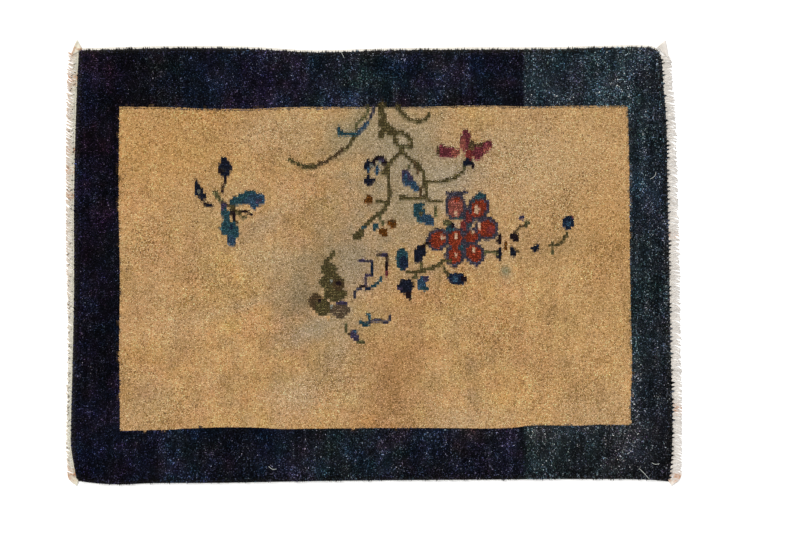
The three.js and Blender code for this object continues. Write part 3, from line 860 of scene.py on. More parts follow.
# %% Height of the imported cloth
UNDER_TIPS = 1.6
SLOPE_RUNS = [0, 2, 4.2, 8.4]
SLOPE_HEIGHTS = [1.6, 3.4, 5.6, 8.3]


def from_edge(x, y):
    """How far a place lies inside the nearest edge of the pile."""
    sides = np.minimum(x - side_of("left", y), side_of("right", y) - x)
    return np.minimum(sides, np.minimum(y - height_of("bottom", x), height_of("top", x) - y))


def packed_height(x, y):
    """The pile's height less the free length of the tips, and no higher than the slope at the rim."""
    return np.minimum(pile_height(x, y) - UNDER_TIPS, np.interp(from_edge(x, y), SLOPE_RUNS, SLOPE_HEIGHTS))


print("the tips stand", UNDER_TIPS, "mm out of the packed cloth")

# %% [markdown]
# ## Wisps
# A knot is tied round two warps, so its two cut ends stand side by side across the warps. The yarn is spun so
# loosely that each end opens into about three wisps. A wisp is a pointed tuft of only four triangles, because
# there are some 190,000 of them. Where the pile is worn the wisps are short and stay together, so each knot
# shows. At the rug's edge their tips come down in a rounded shoulder.

# %% Places and heights of the wisps
SHOULDER_RUNS = [0, 0.5, 2.6, 7.5]
SHOULDER_HEIGHTS = [6.6, 7.4, 9.2, 10.0]
ROOT_DEPTH = 1.3
ROOT_JITTER = 0.15
GATHER = 0.26
LEAST_FREE, WEAR_HOLDS = 0.3, 1.25
TIP_RISE = {"end": 0.2, "wisp": 0.4, "clump": 0.45}

chance = np.random.default_rng(17)


def per_end():
    """One random number for each cut end, the same for all its wisps."""
    return np.repeat(chance.normal(0, 1, (KNOT_COLUMNS, wisp_shape[1])), WISPS_AN_END, axis=0)


def per_wisp():
    """One random number for each wisp."""
    return chance.normal(0, 1, wisp_shape)


# Worn wisps gather at the middle of their knot and are held by it, and the others are free to stray
worn = np.clip(wear, 0, 1)
free = LEAST_FREE + (1 - LEAST_FREE) * np.clip(1 - WEAR_HOLDS * wear, 0, 1)
to_middle_x = (np.floor(column) + 0.5 - column) * PITCH_X
to_middle_y = (np.floor(row) + 0.5 - row) * PITCH_Y
root_x = wisp_x + GATHER * worn * to_middle_x + ROOT_JITTER * per_wisp()
root_y = wisp_y + GATHER * worn * to_middle_y + ROOT_JITTER * per_wisp()
edge_run = from_edge(wisp_x, wisp_y)
full = pile_height(wisp_x, wisp_y)
clump = cloudy(root_x, root_y, 2.3, 31) + 0.5 * cloudy(root_x, root_y, 5.1, 32)
tip_z = np.minimum(full, np.interp(edge_run, SHOULDER_RUNS, SHOULDER_HEIGHTS) + (full - PILE_TOP_MM))
rise = TIP_RISE["end"] * per_end() + TIP_RISE["wisp"] * per_wisp() + TIP_RISE["clump"] * clump
tip_z = tip_z + rise * free
print("wisps:", root_x.size, "with tips at", round(float(tip_z.mean()), 1), "mm on average")

# %% [markdown]
# A wisp leans with the clipping, and its neighbours lean with it. The outer ones have nothing to lean on and
# splay over the edge, most of all along the top.

# %% Leans of the wisps
LEAN_X, LEAN_Y = -0.3, -0.5
LEAN_DRIFT = 0.6
END_JITTER, WISP_JITTER = 0.55, 0.5
SPLAY = {"left": 1.1, "right": 1.4, "bottom": 1.9, "top": 2.4}
SPLAY_RUN = 6.0
SPRING_LEAST, SPRING_MOST, SPRING_DRIFT = 0.1, 2.0, 0.5


def jitter():
    """How far each tip strays one way, partly together with its cut end. It's less where the pile is worn."""
    return free * (END_JITTER * per_end() + WISP_JITTER * per_wisp())


gaps = {"left": wisp_x - side_of("left", wisp_y), "right": side_of("right", wisp_y) - wisp_x,
        "bottom": wisp_y - height_of("bottom", wisp_x), "top": height_of("top", wisp_x) - wisp_y}
push = {side: SPLAY[side] * np.clip(1 - gap / SPLAY_RUN, 0, 1) for side, gap in gaps.items()}
inside = np.clip(edge_run / SPLAY_RUN, 0.3, 1)
lean_x = LEAN_X + LEAN_DRIFT * cloudy(wisp_x, wisp_y, 16, 21) + jitter()
lean_y = LEAN_Y + LEAN_DRIFT * cloudy(wisp_x, wisp_y, 19, 22) + jitter()
spring = chance.uniform(SPRING_LEAST, SPRING_MOST, wisp_shape)
spring = spring * (1 + SPRING_DRIFT * cloudy(wisp_x, wisp_y, 4.6, 23))
tip_x = root_x + lean_x * inside + spring * (push["right"] - push["left"])
tip_y = root_y + lean_y * inside + spring * (push["top"] - push["bottom"])
print("farthest lean:", round(float(np.hypot(tip_x - root_x, tip_y - root_y).max()), 1), "mm")

# %% [markdown]
# At the two sides the outermost knots lie down over the web of the fringe, gathered in pointed teeth one and
# a half knots wide. Not every wisp joins in, and the teeth at the right reach farther.

# %% Teeth over the web
TOOTH_KNOTS, TOOTH_RISE, TOOTH_HEIGHT, TOOTH_SINK = 1.5, 1.6, 3.0, 0.8
TOOTH_SHARES, TOOTH_REACH = (0.35, 0.5), (3.0, 7.2)

side_sign = np.where(column < 1, -1, np.where(column > KNOT_COLUMNS - 1, 1, 0))
at_right = (side_sign > 0).astype(int)
tooth = np.floor(row / TOOTH_KNOTS).astype(int)
tooth_size = chance.uniform(0.3, 1, (2, tooth.max() + 1))[at_right, tooth]
in_tooth = (side_sign != 0) & (chance.uniform(0, 1, wisp_shape) < np.array(TOOTH_SHARES)[at_right])
tooth_length = tooth_size * np.array(TOOTH_REACH)[at_right] * chance.uniform(0.75, 1, wisp_shape)
edge_x = np.where(side_sign > 0, side_of("right", wisp_y), side_of("left", wisp_y))
tooth_y = cloth_point(column, (tooth + 0.5) * TOOTH_KNOTS)[1] + TOOTH_RISE
tooth_z = np.maximum(TOOTH_HEIGHT, packed_height(root_x, root_y) - TOOTH_SINK)
tip_x = np.where(in_tooth, edge_x + side_sign * tooth_length, tip_x)
tip_y = np.where(in_tooth, tooth_y, tip_y)
tip_z = np.where(in_tooth, tooth_z, tip_z)
print("wisps in teeth:", int(in_tooth.sum()), "of", root_x.size)
print("tips from", round(float(tip_z.min()), 1), "to", round(float(tip_z.max()), 1), "mm high")

# %% [markdown]
# ## The colour of each wisp
# One knot is one piece of yarn, so its wisps share a colour, but each takes a little more or less dye, dirt
# and light. The spread is small in the camel wool and large in the dark border, where pale and black wisps
# stand side by side.

# %% Yarn by yarn variation
FIELD_EVENNESS = {"knot": 0.03, "wisp": 0.38, "clump": 0.2}
MOTIF_EVENNESS = {"knot": 0.12, "wisp": 0.48, "clump": 0.3}
BORDER_EVENNESS = {"knot": 0.2, "wisp": 1.35, "clump": 0.75}
FADING = np.array([0.98, 1.05, 1.55])
PALE_ABOVE = 0.2
FLECKS = {"pale": 0.006, "motif": 0.05, "border": 0.1}
# About the square root of 3, which gives even chances from -1 to 1 a deviation of one
WISP_SPREAD = 1.7

knot_chance = chance.normal(0, 1, (KNOT_COLUMNS, KNOT_ROWS))
knot_tone = np.repeat(np.repeat(knot_chance, ENDS_A_KNOT, 1), WISPS_AN_END, 0)
wisp_tone = WISP_SPREAD * chance.uniform(-1, 1, wisp_shape)
causes = {"knot": knot_tone, "wisp": wisp_tone, "clump": clump}
tones = {}
for name, evenness in (("field", FIELD_EVENNESS), ("motif", MOTIF_EVENNESS), ("border", BORDER_EVENNESS)):
    tone = sum(evenness[cause] * causes[cause] for cause in causes)
    tones[name] = (tone - tone.var() / 2)[..., None]
pale = shades[..., 1] > PALE_ABOVE
dark_tone = np.where(in_field[..., None], tones["motif"], tones["border"])
even_tone = np.clip(1 + tones["field"] * FADING, 0.2, 1.8)
wisp_colour = shades * np.where(pale[..., None], even_tone, np.exp(dark_tone))
fleck = np.where(pale, FLECKS["pale"], np.where(in_field, FLECKS["motif"], FLECKS["border"]))[..., None]
wisp_colour = wisp_colour * (1 + fleck * chance.normal(0, 1, (*wisp_shape, 3)))
print("pale wisps:", int(pale.sum()), "and dark wisps:", int((~pale).sum()))

# %% [markdown]
# Age shows at single wisps too. A few tips of the camel wool have bleached to cream. The border has pale,
# brittle tips among the dark ones, more of them in the greener batch, greyed and brightened partly as painted
# highlight. Where the camel pile parts, its wisps are darkened as painted shade for the look down into it. A
# grey is mixed into the outermost rows and lightens them, least along the bottom.

# %% Bleached, brittle and greyed wisps, with painted shade and highlight
BLEACHED, PARTED = 0.01, 0.14
BLEACHED_LIGHT = 1.15
KEPT, CHANGED = 0.55, 0.45
PARTED_PAINTED_SHADE = np.array([0.66, 0.60, 0.52])
BRITTLE_HIGHLIGHT_PLACES, BRITTLE_HIGHLIGHT_SHARES = [-440, 0, 214, 218, 440], [0.03, 0.09, 0.08, 0.14, 0.15]
BRITTLE_HIGHLIGHT_BANDS = 1.9
BRITTLE_AND_HIGHLIGHT_TONE = np.array([2.45, 2.35, 2.25])
EDGE_GREY, EDGE_GREY_SHARE, EDGE_GREY_RUN = linear("#6E6A62"), 0.26, 4.5
BOTTOM_ROWS, BOTTOM_GREY = 9, 0.4

lot = chance.uniform(0, 1, wisp_shape)
bleached = (lot < BLEACHED) & pale
parted = (lot > 1 - PARTED) & pale
brittle_highlight_share = np.interp(wisp_x, BRITTLE_HIGHLIGHT_PLACES, BRITTLE_HIGHLIGHT_SHARES) * (1 + BRITTLE_HIGHLIGHT_BANDS * row_bands(5))
brittle_and_highlit = (lot < brittle_highlight_share) & ~in_field
cream_tip = KEPT * wisp_colour + CHANGED * dyes["cream"] * BLEACHED_LIGHT
wisp_colour = np.where(bleached[..., None], cream_tip, wisp_colour)
greyed = KEPT * wisp_colour + CHANGED * wisp_colour.mean(axis=-1, keepdims=True)
# Brittle tips are greyed and made brighter, partly brittle wool and partly painted highlight on the dark
# border
wisp_colour = np.where(brittle_and_highlit[..., None], greyed * BRITTLE_AND_HIGHLIGHT_TONE, wisp_colour)
# Painted shade: parted camel wisps are darkened for the look down into the pile
wisp_colour = np.where(parted[..., None], wisp_colour * PARTED_PAINTED_SHADE, wisp_colour)
# A grey is mixed into the outermost wisps, which lightens them, least along the bottom
edge_grey_reach = np.where(in_tooth, 0, np.where(row < BOTTOM_ROWS, BOTTOM_GREY, 1))
edge_greyed = EDGE_GREY_SHARE * np.exp(-(edge_run / EDGE_GREY_RUN) ** 2) * edge_grey_reach
wisp_colour = wisp_colour * (1 - edge_greyed[..., None]) + EDGE_GREY * edge_greyed[..., None]
wisp_colour = np.clip(wisp_colour, 0.001, 0.9)
print("bleached:", int(bleached.sum()), "parted:", int(parted.sum()), "brittle:", int(brittle_and_highlit.sum()))

# %% [markdown]
# ## Pile in eight bands
# The pile is built in eight bands from left to right, so that no piece is too heavy. A band's points are one
# array: a ring of four at the root of each wisp, which is hidden in the imported cloth, and its tip. Each wisp
# also gets its own small square in a map named OFBake, with its tip in the middle.

# %% Build the bands
BANDS = 8
ROOT_RADIUS, ROOT_SPREAD = 1.25, 0.12
CORNER_TURNS = np.radians([45, 135, 225, 315])
# A wisp's colour is darker at its root, painted shade down among the wisps, and lighter at its tip, painted
# light with some faded dye
ROOT_PAINTED_SHADE, TIP_PAINTED_LIGHT_AND_FADE = np.array([0.37, 0.34, 0.29]), np.array([1.22, 1.23, 1.26])
TUFT_FACES = np.array([[0, 1, 4], [1, 2, 4], [2, 3, 4], [3, 0, 4]])
# The root's four corners and the tip in a wisp's square of the map, with a thin margin between squares
TUFT_SQUARE = 0.5 + 0.47 * np.array([[1, 1], [-1, 1], [-1, -1], [1, -1], [0, 0]])


def pile_band(number, first, last):
    """All the wisps of the knot columns from first to last, as one mesh. A root corner stands at the root
    plus its radius times the cosine and sine of its turn."""
    count = root_x[first:last].size
    roots = np.stack([root_x[first:last].reshape(-1), root_y[first:last].reshape(-1)], axis=1)
    tips = np.stack([part[first:last].reshape(-1) for part in (tip_x, tip_y, tip_z)], axis=1)
    turns = CORNER_TURNS + chance.uniform(0, 2 * np.pi, (count, 1))
    radius = ROOT_RADIUS * chance.normal(1, ROOT_SPREAD, (count, 4))
    points = np.zeros((count, 5, 3))
    points[:, :4, 0] = roots[:, :1] + radius * np.cos(turns)
    points[:, :4, 1] = roots[:, 1:] + radius * np.sin(turns)
    points[:, :4, 2] = (packed_height(roots[:, 0], roots[:, 1]) - ROOT_DEPTH)[:, None]
    points[:, 4] = tips
    faces = 5 * np.arange(count)[:, None, None] + TUFT_FACES
    # Painted shade at the root corners and painted light at the tip, blended along each wisp
    point_shade_and_light = np.concatenate([np.repeat(ROOT_PAINTED_SHADE[None], 4, axis=0), TIP_PAINTED_LIGHT_AND_FADE[None]])
    colours = np.clip(wisp_colour[first:last].reshape(count, 1, 3) * point_shade_and_light, 0, 0.95)
    corners, side = cells(count)
    places = corners[:, None] + side * TUFT_SQUARE
    places = places[:, TUFT_FACES].reshape(-1, 2)
    return make_piece(f"pile_{number}", points.reshape(-1, 3), [faces.reshape(-1, 3)], [wool],
                      colours.reshape(-1, 3), maps={"OFBake": places})


limits = WISPS_AN_END * np.linspace(0, KNOT_COLUMNS, BANDS + 1).astype(int)
pile = [pile_band(i + 1, limits[i], limits[i + 1]) for i in range(BANDS)]
print("pile triangles:", sum(len(band.data.polygons) for band in pile))

# %% [markdown]
# ## Cotton
# The fringes and the loose threads are undyed cotton, spun hard and plied, which shows as slanting ridges
# along each yarn, with painted shade darkening the grooves between them. It is brighter and smoother than the
# wool. The ridges are counted along the yarn's own map, where one unit of length is one turn of the ply.

# %% Cotton material
cotton, tree = new_material("plied cotton warp")
cotton_dye = add(tree, "ShaderNodeAttribute", attribute_name="dye")
yarn_place = add(tree, "ShaderNodeUVMap", uv_map="yarn")
yarn_parts = add(tree, "ShaderNodeSeparateXYZ", {"Vector": yarn_place.outputs["UV"]})
slant = add(tree, "ShaderNodeMath", {0: yarn_parts.outputs["X"], 1: yarn_parts.outputs["Y"]}, operation="ADD")
ply_angle = add(tree, "ShaderNodeMath", {0: slant.outputs["Value"], 1: 4 * np.pi}, operation="MULTIPLY")
ply = add(tree, "ShaderNodeMath", {0: ply_angle.outputs["Value"]}, operation="COSINE")
# Painted shade: the ply's cosine darkens the cotton's colour in the grooves between the plies
ply_groove_shade = add(tree, "ShaderNodeMapRange", {
    "Value": ply.outputs["Value"], "From Min": -1.0, "From Max": 1.0, "To Min": 0.84, "To Max": 1.04})
groove_shaded_cotton = add(tree, "ShaderNodeVectorMath", {
    0: cotton_dye.outputs["Color"], "Scale": ply_groove_shade.outputs["Result"]}, operation="SCALE")
twist = add(tree, "ShaderNodeBump", {"Height": ply.outputs["Value"], "Strength": 0.6, "Distance": 0.0002})
cotton_finish = add(tree, "ShaderNodeBsdfPrincipled", {
    "Base Color": groove_shaded_cotton.outputs["Vector"], "Roughness": 0.8, "Specular IOR Level": 0.3,
    "Sheen Weight": 0.1, "Sheen Roughness": 0.5, "Normal": twist.outputs["Normal"]})
add(tree, "ShaderNodeOutputMaterial", {"Surface": cotton_finish.outputs["BSDF"]})
COTTON = linear("#E4DED2")
print("cotton is", np.round(COTTON, 2))

# %% [markdown]
# ## The imported cloth
# This is one closed sheet with a face for each knot on both sides. Its upper side has the colour of the wool,
# made darker as painted shade, so that one looks between two wisps into shade and not into a black hole. At
# the rim the sheet is thin. Along the top it reaches a little past the pile, and its last row of faces is bare
# cotton, which shows as a pale selvedge. From below one sees the whole pattern, a small square of colour for
# each knot and a line of cotton between the rows.

# %% The cloth as a closed sheet
SELVEDGE = {"top": 3.4, "bottom": 1.4, "side": 0.8}
RIM_TOP, RIM_BOTTOM = 1.5, 0.5

line_column, line_row = np.meshgrid(np.arange(KNOT_COLUMNS + 1), np.arange(KNOT_ROWS + 1), indexing="ij")


def ground_point(column, row):
    """A place on the cloth, selvedges included: the pile's own place, spread evenly out to the selvedges."""
    x, y = cloth_point(column, row)
    x = x + SELVEDGE["side"] * (2 * column / KNOT_COLUMNS - 1)
    y = y + SELVEDGE["top"] * row / KNOT_ROWS - SELVEDGE["bottom"] * (1 - row / KNOT_ROWS)
    return x, y


line_x, line_y = ground_point(line_column, line_row)
at_rim = (line_column % KNOT_COLUMNS == 0) | (line_row % KNOT_ROWS == 0)
top_side = np.dstack([line_x, line_y, np.where(at_rim, RIM_TOP, packed_height(line_x, line_y))])
underside = np.dstack([line_x, line_y, np.where(at_rim, RIM_BOTTOM, 0.0)])
number = np.arange(line_x.size).reshape(line_x.shape)
low_left, low_right = number[:-1, :-1].reshape(-1), number[1:, :-1].reshape(-1)
high_left, high_right = number[:-1, 1:].reshape(-1), number[1:, 1:].reshape(-1)
upper_faces = np.stack([low_left, low_right, high_right, high_left], axis=1)
lower_faces = np.stack([low_left, high_left, high_right, low_right], axis=1) + line_x.size
rim = np.concatenate([number[:, 0], number[-1, 1:], number[-2::-1, -1], number[0, -2:0:-1]])
rim_next = np.roll(rim, -1)
wall = np.stack([rim + line_x.size, rim_next + line_x.size, rim_next, rim], axis=1)
knot_map = np.stack([line_column.reshape(-1), line_row.reshape(-1)], axis=1)
ground_corners = np.concatenate([face.reshape(-1) for face in (upper_faces, lower_faces, wall)]) % line_x.size
print("ground faces:", len(upper_faces) + len(lower_faces) + len(wall))

# %% [markdown]
# A knot has one colour, the mean of its wisps. On the upper side, between the wisps, that colour is darkened
# as painted shade, and underneath it shows as it is, a little more or less dyed than the next one.

# %% The cloth's colours
PALE_PAINTED_SHADE, DARK_PAINTED_SHADE = 0.54, 0.25
SELVEDGE_LIGHT, WALL_LIGHT = 0.8, 0.9
BACK_EVENNESS = 0.10

knot_shade = shades.reshape(KNOT_COLUMNS, WISPS_AN_END, KNOT_ROWS, ENDS_A_KNOT, 3).mean(axis=(1, 3))
knot_shade = knot_shade.reshape(-1, 3)
knot_back = knot_shade * np.exp(BACK_EVENNESS * chance.normal(0, 1, (len(knot_shade), 1)))
top_row = (np.arange(len(knot_shade)) % KNOT_ROWS == KNOT_ROWS - 1)[:, None]
# Painted shade on the upper side: the knot's colour darkened, more for dark wool; the top row is bare cotton
body_colour_and_painted_shade = knot_shade * np.where(knot_shade[:, 1:2] > PALE_ABOVE, PALE_PAINTED_SHADE, DARK_PAINTED_SHADE)
body_colour_and_painted_shade = np.where(top_row, COTTON * SELVEDGE_LIGHT, body_colour_and_painted_shade)
upper_colour = np.repeat(body_colour_and_painted_shade, 4, axis=0)
lower_colour = np.repeat(knot_back, 4, axis=0)
wall_colour = np.repeat(COTTON[None] * WALL_LIGHT, 4 * len(wall), axis=0)
print("mean colour underneath:", np.round(knot_back.mean(axis=0), 2))

# %% [markdown]
# The ground's finish counts in knots. One unit of its map is one knot, so a cosine along it gives the line of
# cotton weft between two rows, and another across it gives the two loops of each knot.

# %% Ground material
WEFT_LIGHT = 0.75

weave, tree = new_material("knotted cotton ground")
knot_dye = add(tree, "ShaderNodeAttribute", attribute_name="dye")
knot_place = add(tree, "ShaderNodeUVMap", uv_map="knots")
knot_parts = add(tree, "ShaderNodeSeparateXYZ", {"Vector": knot_place.outputs["UV"]})
weft_angle = add(tree, "ShaderNodeMath", {0: knot_parts.outputs["X"], 1: 2 * np.pi}, operation="MULTIPLY")
weft = add(tree, "ShaderNodeMath", {0: weft_angle.outputs["Value"]}, operation="COSINE")
loop_angle = add(tree, "ShaderNodeMath", {0: knot_parts.outputs["Y"], 1: 4 * np.pi}, operation="MULTIPLY")
loops = add(tree, "ShaderNodeMath", {0: loop_angle.outputs["Value"]}, operation="COSINE")
hollows = add(tree, "ShaderNodeMath", {0: weft.outputs["Value"], 1: loops.outputs["Value"]}, operation="ADD")
raised = add(tree, "ShaderNodeMath", {0: hollows.outputs["Value"], 1: -1.0}, operation="MULTIPLY")
weft_line = add(tree, "ShaderNodeMapRange", {
    "Value": weft.outputs["Value"], "From Min": 0.72, "From Max": 0.98, "To Min": 0.0, "To Max": 0.55})
mixed = add(tree, "ShaderNodeMix", {
    0: weft_line.outputs["Result"], 6: knot_dye.outputs["Color"], 7: (*(COTTON * WEFT_LIGHT), 1)},
            data_type="RGBA")
bumps = add(tree, "ShaderNodeBump", {"Height": raised.outputs["Value"], "Strength": 0.7, "Distance": 0.0004})
weave_finish = add(tree, "ShaderNodeBsdfPrincipled", {
    "Base Color": mixed.outputs[2], "Roughness": 0.85, "Specular IOR Level": 0.2, "Sheen Weight": 0.1,
    "Sheen Roughness": 0.5, "Normal": bumps.outputs["Normal"]})
add(tree, "ShaderNodeOutputMaterial", {"Surface": weave_finish.outputs["BSDF"]})

ground = make_piece("rug_ground", np.concatenate([top_side.reshape(-1, 3), underside.reshape(-1, 3)]),
                    [upper_faces, lower_faces, wall], [wool, weave],
                    corner_colours=np.concatenate([upper_colour, lower_colour, wall_colour]),
                    maps={"knots": knot_map[ground_corners]},
                    finish=np.repeat([0, 1, 1], [len(upper_faces), len(lower_faces), len(wall)]))
print("ground triangles:", 2 * len(ground.data.polygons))

# %% [markdown]
# ## Tubes for yarns
# Yarns of the fringe, the corner tufts and the loose threads are all one shape: a ring carried along a path.
# One function makes any number of them at once, with the map along each yarn that the cotton's ply needs.
# A second map gives each yarn a square with its side below and two ends above.

# %% Many yarns at once
PLY_TURN = 3.4
MAP_MARGIN, MAP_TALL, MAP_WIDE = 0.04, 0.84, 0.92
END_DOT, END_PLACES = 0.025, ([0.25, 0.94], [0.75, 0.94])


def yarns(paths, radii, sides):
    """Tubes along paths of shape (yarns, steps, 3) with radii (yarns, steps). A ring stands across the path
    on a level side direction and on the direction square to both. Each end is closed by one face."""
    count, steps, _ = paths.shape
    ahead = np.gradient(paths, axis=1)
    ahead /= np.linalg.norm(ahead, axis=2, keepdims=True)
    beside = np.cross(np.broadcast_to([0.0, 0.0, 1.0], ahead.shape), ahead)
    beside /= np.linalg.norm(beside, axis=2, keepdims=True)
    above = np.cross(ahead, beside)
    angles = np.linspace(0, 2 * np.pi, sides, endpoint=False)
    ring = (beside[:, :, None] * np.cos(angles)[None, None, :, None]
            + above[:, :, None] * np.sin(angles)[None, None, :, None])
    points = paths[:, :, None] + ring * radii[:, :, None, None]
    number = np.arange(points.shape[0] * steps * sides).reshape(count, steps, sides)
    after = np.roll(number, -1, axis=2)
    quads = np.stack([number[:, :-1], after[:, :-1], after[:, 1:], number[:, 1:]], axis=-1).reshape(-1, 4)
    caps = np.concatenate([number[:, 0, ::-1], number[:, -1]])
    travelled = np.cumsum(np.linalg.norm(np.diff(paths, axis=1, prepend=paths[:, :1]), axis=2), axis=1)
    turn = np.arange(sides) / sides
    corner_turn = np.stack([turn, turn + 1 / sides, turn + 1 / sides, turn], axis=-1)
    low, high = travelled[:, :-1] / PLY_TURN, travelled[:, 1:] / PLY_TURN
    corner_length = np.stack([low, low, high, high], axis=-1)
    shape = (count, steps - 1, sides, 4)
    long = np.broadcast_to(corner_length[:, :, None], shape)
    yarn_map = np.stack([np.broadcast_to(corner_turn, shape), long], axis=-1).reshape(-1, 2)
    corners, side = cells(count)
    rows = np.arange(steps) / (steps - 1) * MAP_TALL + MAP_MARGIN
    row_places = np.stack([rows[:-1], rows[:-1], rows[1:], rows[1:]], axis=-1)[:, None]
    flat = np.stack([np.broadcast_to(MAP_MARGIN + MAP_WIDE * corner_turn, shape[1:]),
                     np.broadcast_to(row_places, shape[1:])], axis=-1)
    bake = (corners[:, None, None, None] + side * flat[None]).reshape(-1, 2)
    dot = np.stack([np.cos(angles), np.sin(angles)], axis=-1) * END_DOT
    cap_places = np.concatenate([corners[:, None] + side * (dot[::-1] + END_PLACES[0]),
                                 corners[:, None] + side * (dot + END_PLACES[1])])
    return {"points": points.reshape(-1, 3), "faces": [quads, caps],
            "yarn": np.concatenate([yarn_map, np.zeros((2 * count * sides, 2))]),
            "bake": np.concatenate([bake, cap_places.reshape(-1, 2)])}


print("the ply of a yarn turns once in", PLY_TURN, "mm")

# %% [markdown]
# ## The fringes
# When the rug is cut from the loom, a narrow woven web holds the last weft, and the warp ends stick out past
# it in pairs. They have been walked on and washed, so no two are the same length, and they lean, at the left
# towards the top edge and at the right towards the bottom edge. How far they reach was read off along each
# side. Here and there rust has stained them.

# %% Facts of the fringes
WEB_WIDTH = 2.4
PARTING = 0.3
PAIRS = 151
YARN_RADIUS = 0.78
REACH = {
    "left": {"y": [-308, -284, -240, -140, -60, 40, 120, 230, 302],
             "reach": [13.4, 9.5, 7.2, 8.2, 10.0, 13.4, 14.4, 14.2, 15.0],
             "lean": [2.6, 3.6, 2.6, 2.8, 3.6, 4.6, 5.0, 5.2, 3.6]},
    "right": {"y": [-308, -260, -180, -80, 30, 120, 200, 298],
              "reach": [15.4, 15.4, 15.2, 15.2, 15.6, 14.6, 14.0, 14.6],
              "lean": [-3.4, -4.6, -3.8, -4.4, -3.6, -4.2, -3.2, -2.2]},
}
SIDES = {
    "left": {"outward": -1, "low": -305.6, "high": 299.6},
    "right": {"outward": 1, "low": -305.6, "high": 298.4},
}
print("warp ends on each side:", 2 * PAIRS)

# %% [markdown]
# The cotton is cream near the rug and a little darker towards the tips. Dirt has settled on it in soft
# streaks, and rust has marked it in a few places.

# %% Dirt and rust on the cotton
RUST_MARKS = [
    {"side": "left", "y": 264, "half": 9},
    {"side": "left", "y": 163, "half": 5},
    {"side": "left", "y": 133, "half": 5},
    {"side": "left", "y": 97, "half": 6},
    {"side": "left", "y": -303, "half": 8},
    {"side": "left", "y": 305, "half": 7},
    {"side": "right", "y": -209, "half": 8},
    {"side": "right", "y": -308, "half": 7},
    {"side": "right", "y": 40, "half": 4},
]
RUST, RUST_SHARE = linear("#B9793F"), 0.8
WASHED = {
    "left": [linear("#E0DBC8"), linear("#CFBDAB")],
    "right": [linear("#E9E2D8"), linear("#E2DBD3")],
}
CHANGE_FROM, CHANGE_RUN = 3.0, 8.0
GRIME, STREAKS = 0.05, 0.08
SIDE_SAMPLES = 400


def side_x(side, y):
    """Where the outer line of the cloth stands at a height y."""
    line_rows = np.linspace(0, KNOT_ROWS, SIDE_SAMPLES)
    side_column = 0.0 if side == "left" else KNOT_COLUMNS
    x_line, y_line = ground_point(np.full(SIDE_SAMPLES, side_column), line_rows)
    return np.interp(y, y_line, x_line)


def stained(side, points):
    """The colour of each cotton point: it changes outwards, with a little dirt, and with rust near each mark.
    The rust is a bell curve of the distance along the side, broken up by a cloud."""
    run = np.abs(points[:, 0] - side_x(side, points[:, 1])) - CHANGE_FROM
    share = np.clip(run / CHANGE_RUN, 0, 1)[:, None]
    base = WASHED[side][0] * (1 - share) + WASHED[side][1] * share
    dirt = 1 + cloudy(points[:, 0], points[:, 1], 7, 41)
    streak = cloudy(0.1 * points[:, 0], points[:, 1], 1.9, 44)
    colour = base * (1 - GRIME * dirt + STREAKS * streak)[:, None]
    for mark in RUST_MARKS:
        if mark["side"] == side:
            near = np.exp(-((points[:, 1] - mark["y"]) / mark["half"]) ** 2)
            blotch = np.clip(0.5 + 0.9 * cloudy(points[:, 0], points[:, 1], 2.2, 43), 0, 1)
            amount = (RUST_SHARE * near * blotch)[:, None]
            colour = colour * (1 - amount) + RUST * amount
    return colour


print("rust marks:", len(RUST_MARKS))

# %% [markdown]
# A warp end is a line of eight points. It starts in the web, comes down to the floor over the first third of
# its length, and bends more and more towards its tip.

# %% Paths of the warp ends
PAIR_HALF_GAP = 0.23
START_INSIDE, START_HEIGHT = 0.6, 1.25
DROP_SPEED = 3.2
LEAST_REACH, FARTHEST_TIP = 4.2, 442.0
END_STEPS = 8


def warp_end_paths(side):
    """Paths of the warp ends of one side. Each leaves the web, drops to the floor, runs outwards and bends by
    its lean times the square of its share, with a slow wave of its own."""
    facts, table = SIDES[side], REACH[side]
    count = 2 * PAIRS
    pair_y = facts["low"] + (facts["high"] - facts["low"]) * (np.arange(PAIRS) + 0.5) / PAIRS
    half_gap = PAIR_HALF_GAP * (facts["high"] - facts["low"]) / PAIRS
    start_y = (pair_y[:, None] + np.array([-half_gap, half_gap])).reshape(-1) + chance.normal(0, 0.18, count)
    start_x = side_x(side, start_y) + facts["outward"] * (PARTING + WEB_WIDTH - START_INSIDE)
    reach = np.interp(start_y, table["y"], table["reach"]) + chance.normal(-0.2, 0.8, count)
    lean = np.interp(start_y, table["y"], table["lean"]) + chance.normal(0, 1.1, count)
    tip_x = side_x(side, start_y) + facts["outward"] * np.maximum(reach, LEAST_REACH)
    tip_x = np.clip(tip_x, -FARTHEST_TIP, FARTHEST_TIP)
    share = np.linspace(0, 1, END_STEPS)[None]
    x = start_x[:, None] + (tip_x - start_x)[:, None] * share
    swing = chance.uniform(0.2, 1.0, (count, 1))
    wave = swing * np.sin(2 * np.pi * (share + chance.uniform(0, 1, (count, 1))))
    y = start_y[:, None] + lean[:, None] * share**2 + wave * share
    drop = np.clip(share * DROP_SPEED, 0, 1)
    rise = chance.uniform(0, 0.8, (count, 1)) * np.sin(np.pi * share)
    z = START_HEIGHT * (1 - drop) + (YARN_RADIUS + 0.02) * drop + rise
    return np.stack([x, y, z], axis=-1)


print("no tip lies farther out than", FARTHEST_TIP, "mm from the middle")

# %% [markdown]
# The web is plain weave: a low band beside the pile with one small hump for each warp that passes through it.
# Its cross-section is a low arch of six points, carried along the side of the cloth and closed underneath.

# %% The web
HUMPS_A_PAIR, STEPS_A_HUMP = 2, 2
WEB_PAST = 2.5
# The arch's points: the share of the width where each stands, its height, and its part in a hump's height
ARCH_ACROSS = np.array([0.0, 0.12, 0.5, 0.88, 1.0, 0.5])
ARCH_HEIGHTS = np.array([0.1, 1.5, 2.1, 1.5, 0.1, 0.0])
ARCH_PARTS = np.array([0, 0.7, 1.0, 0.7, 0, 0])
HUMP_HEIGHT = 0.55


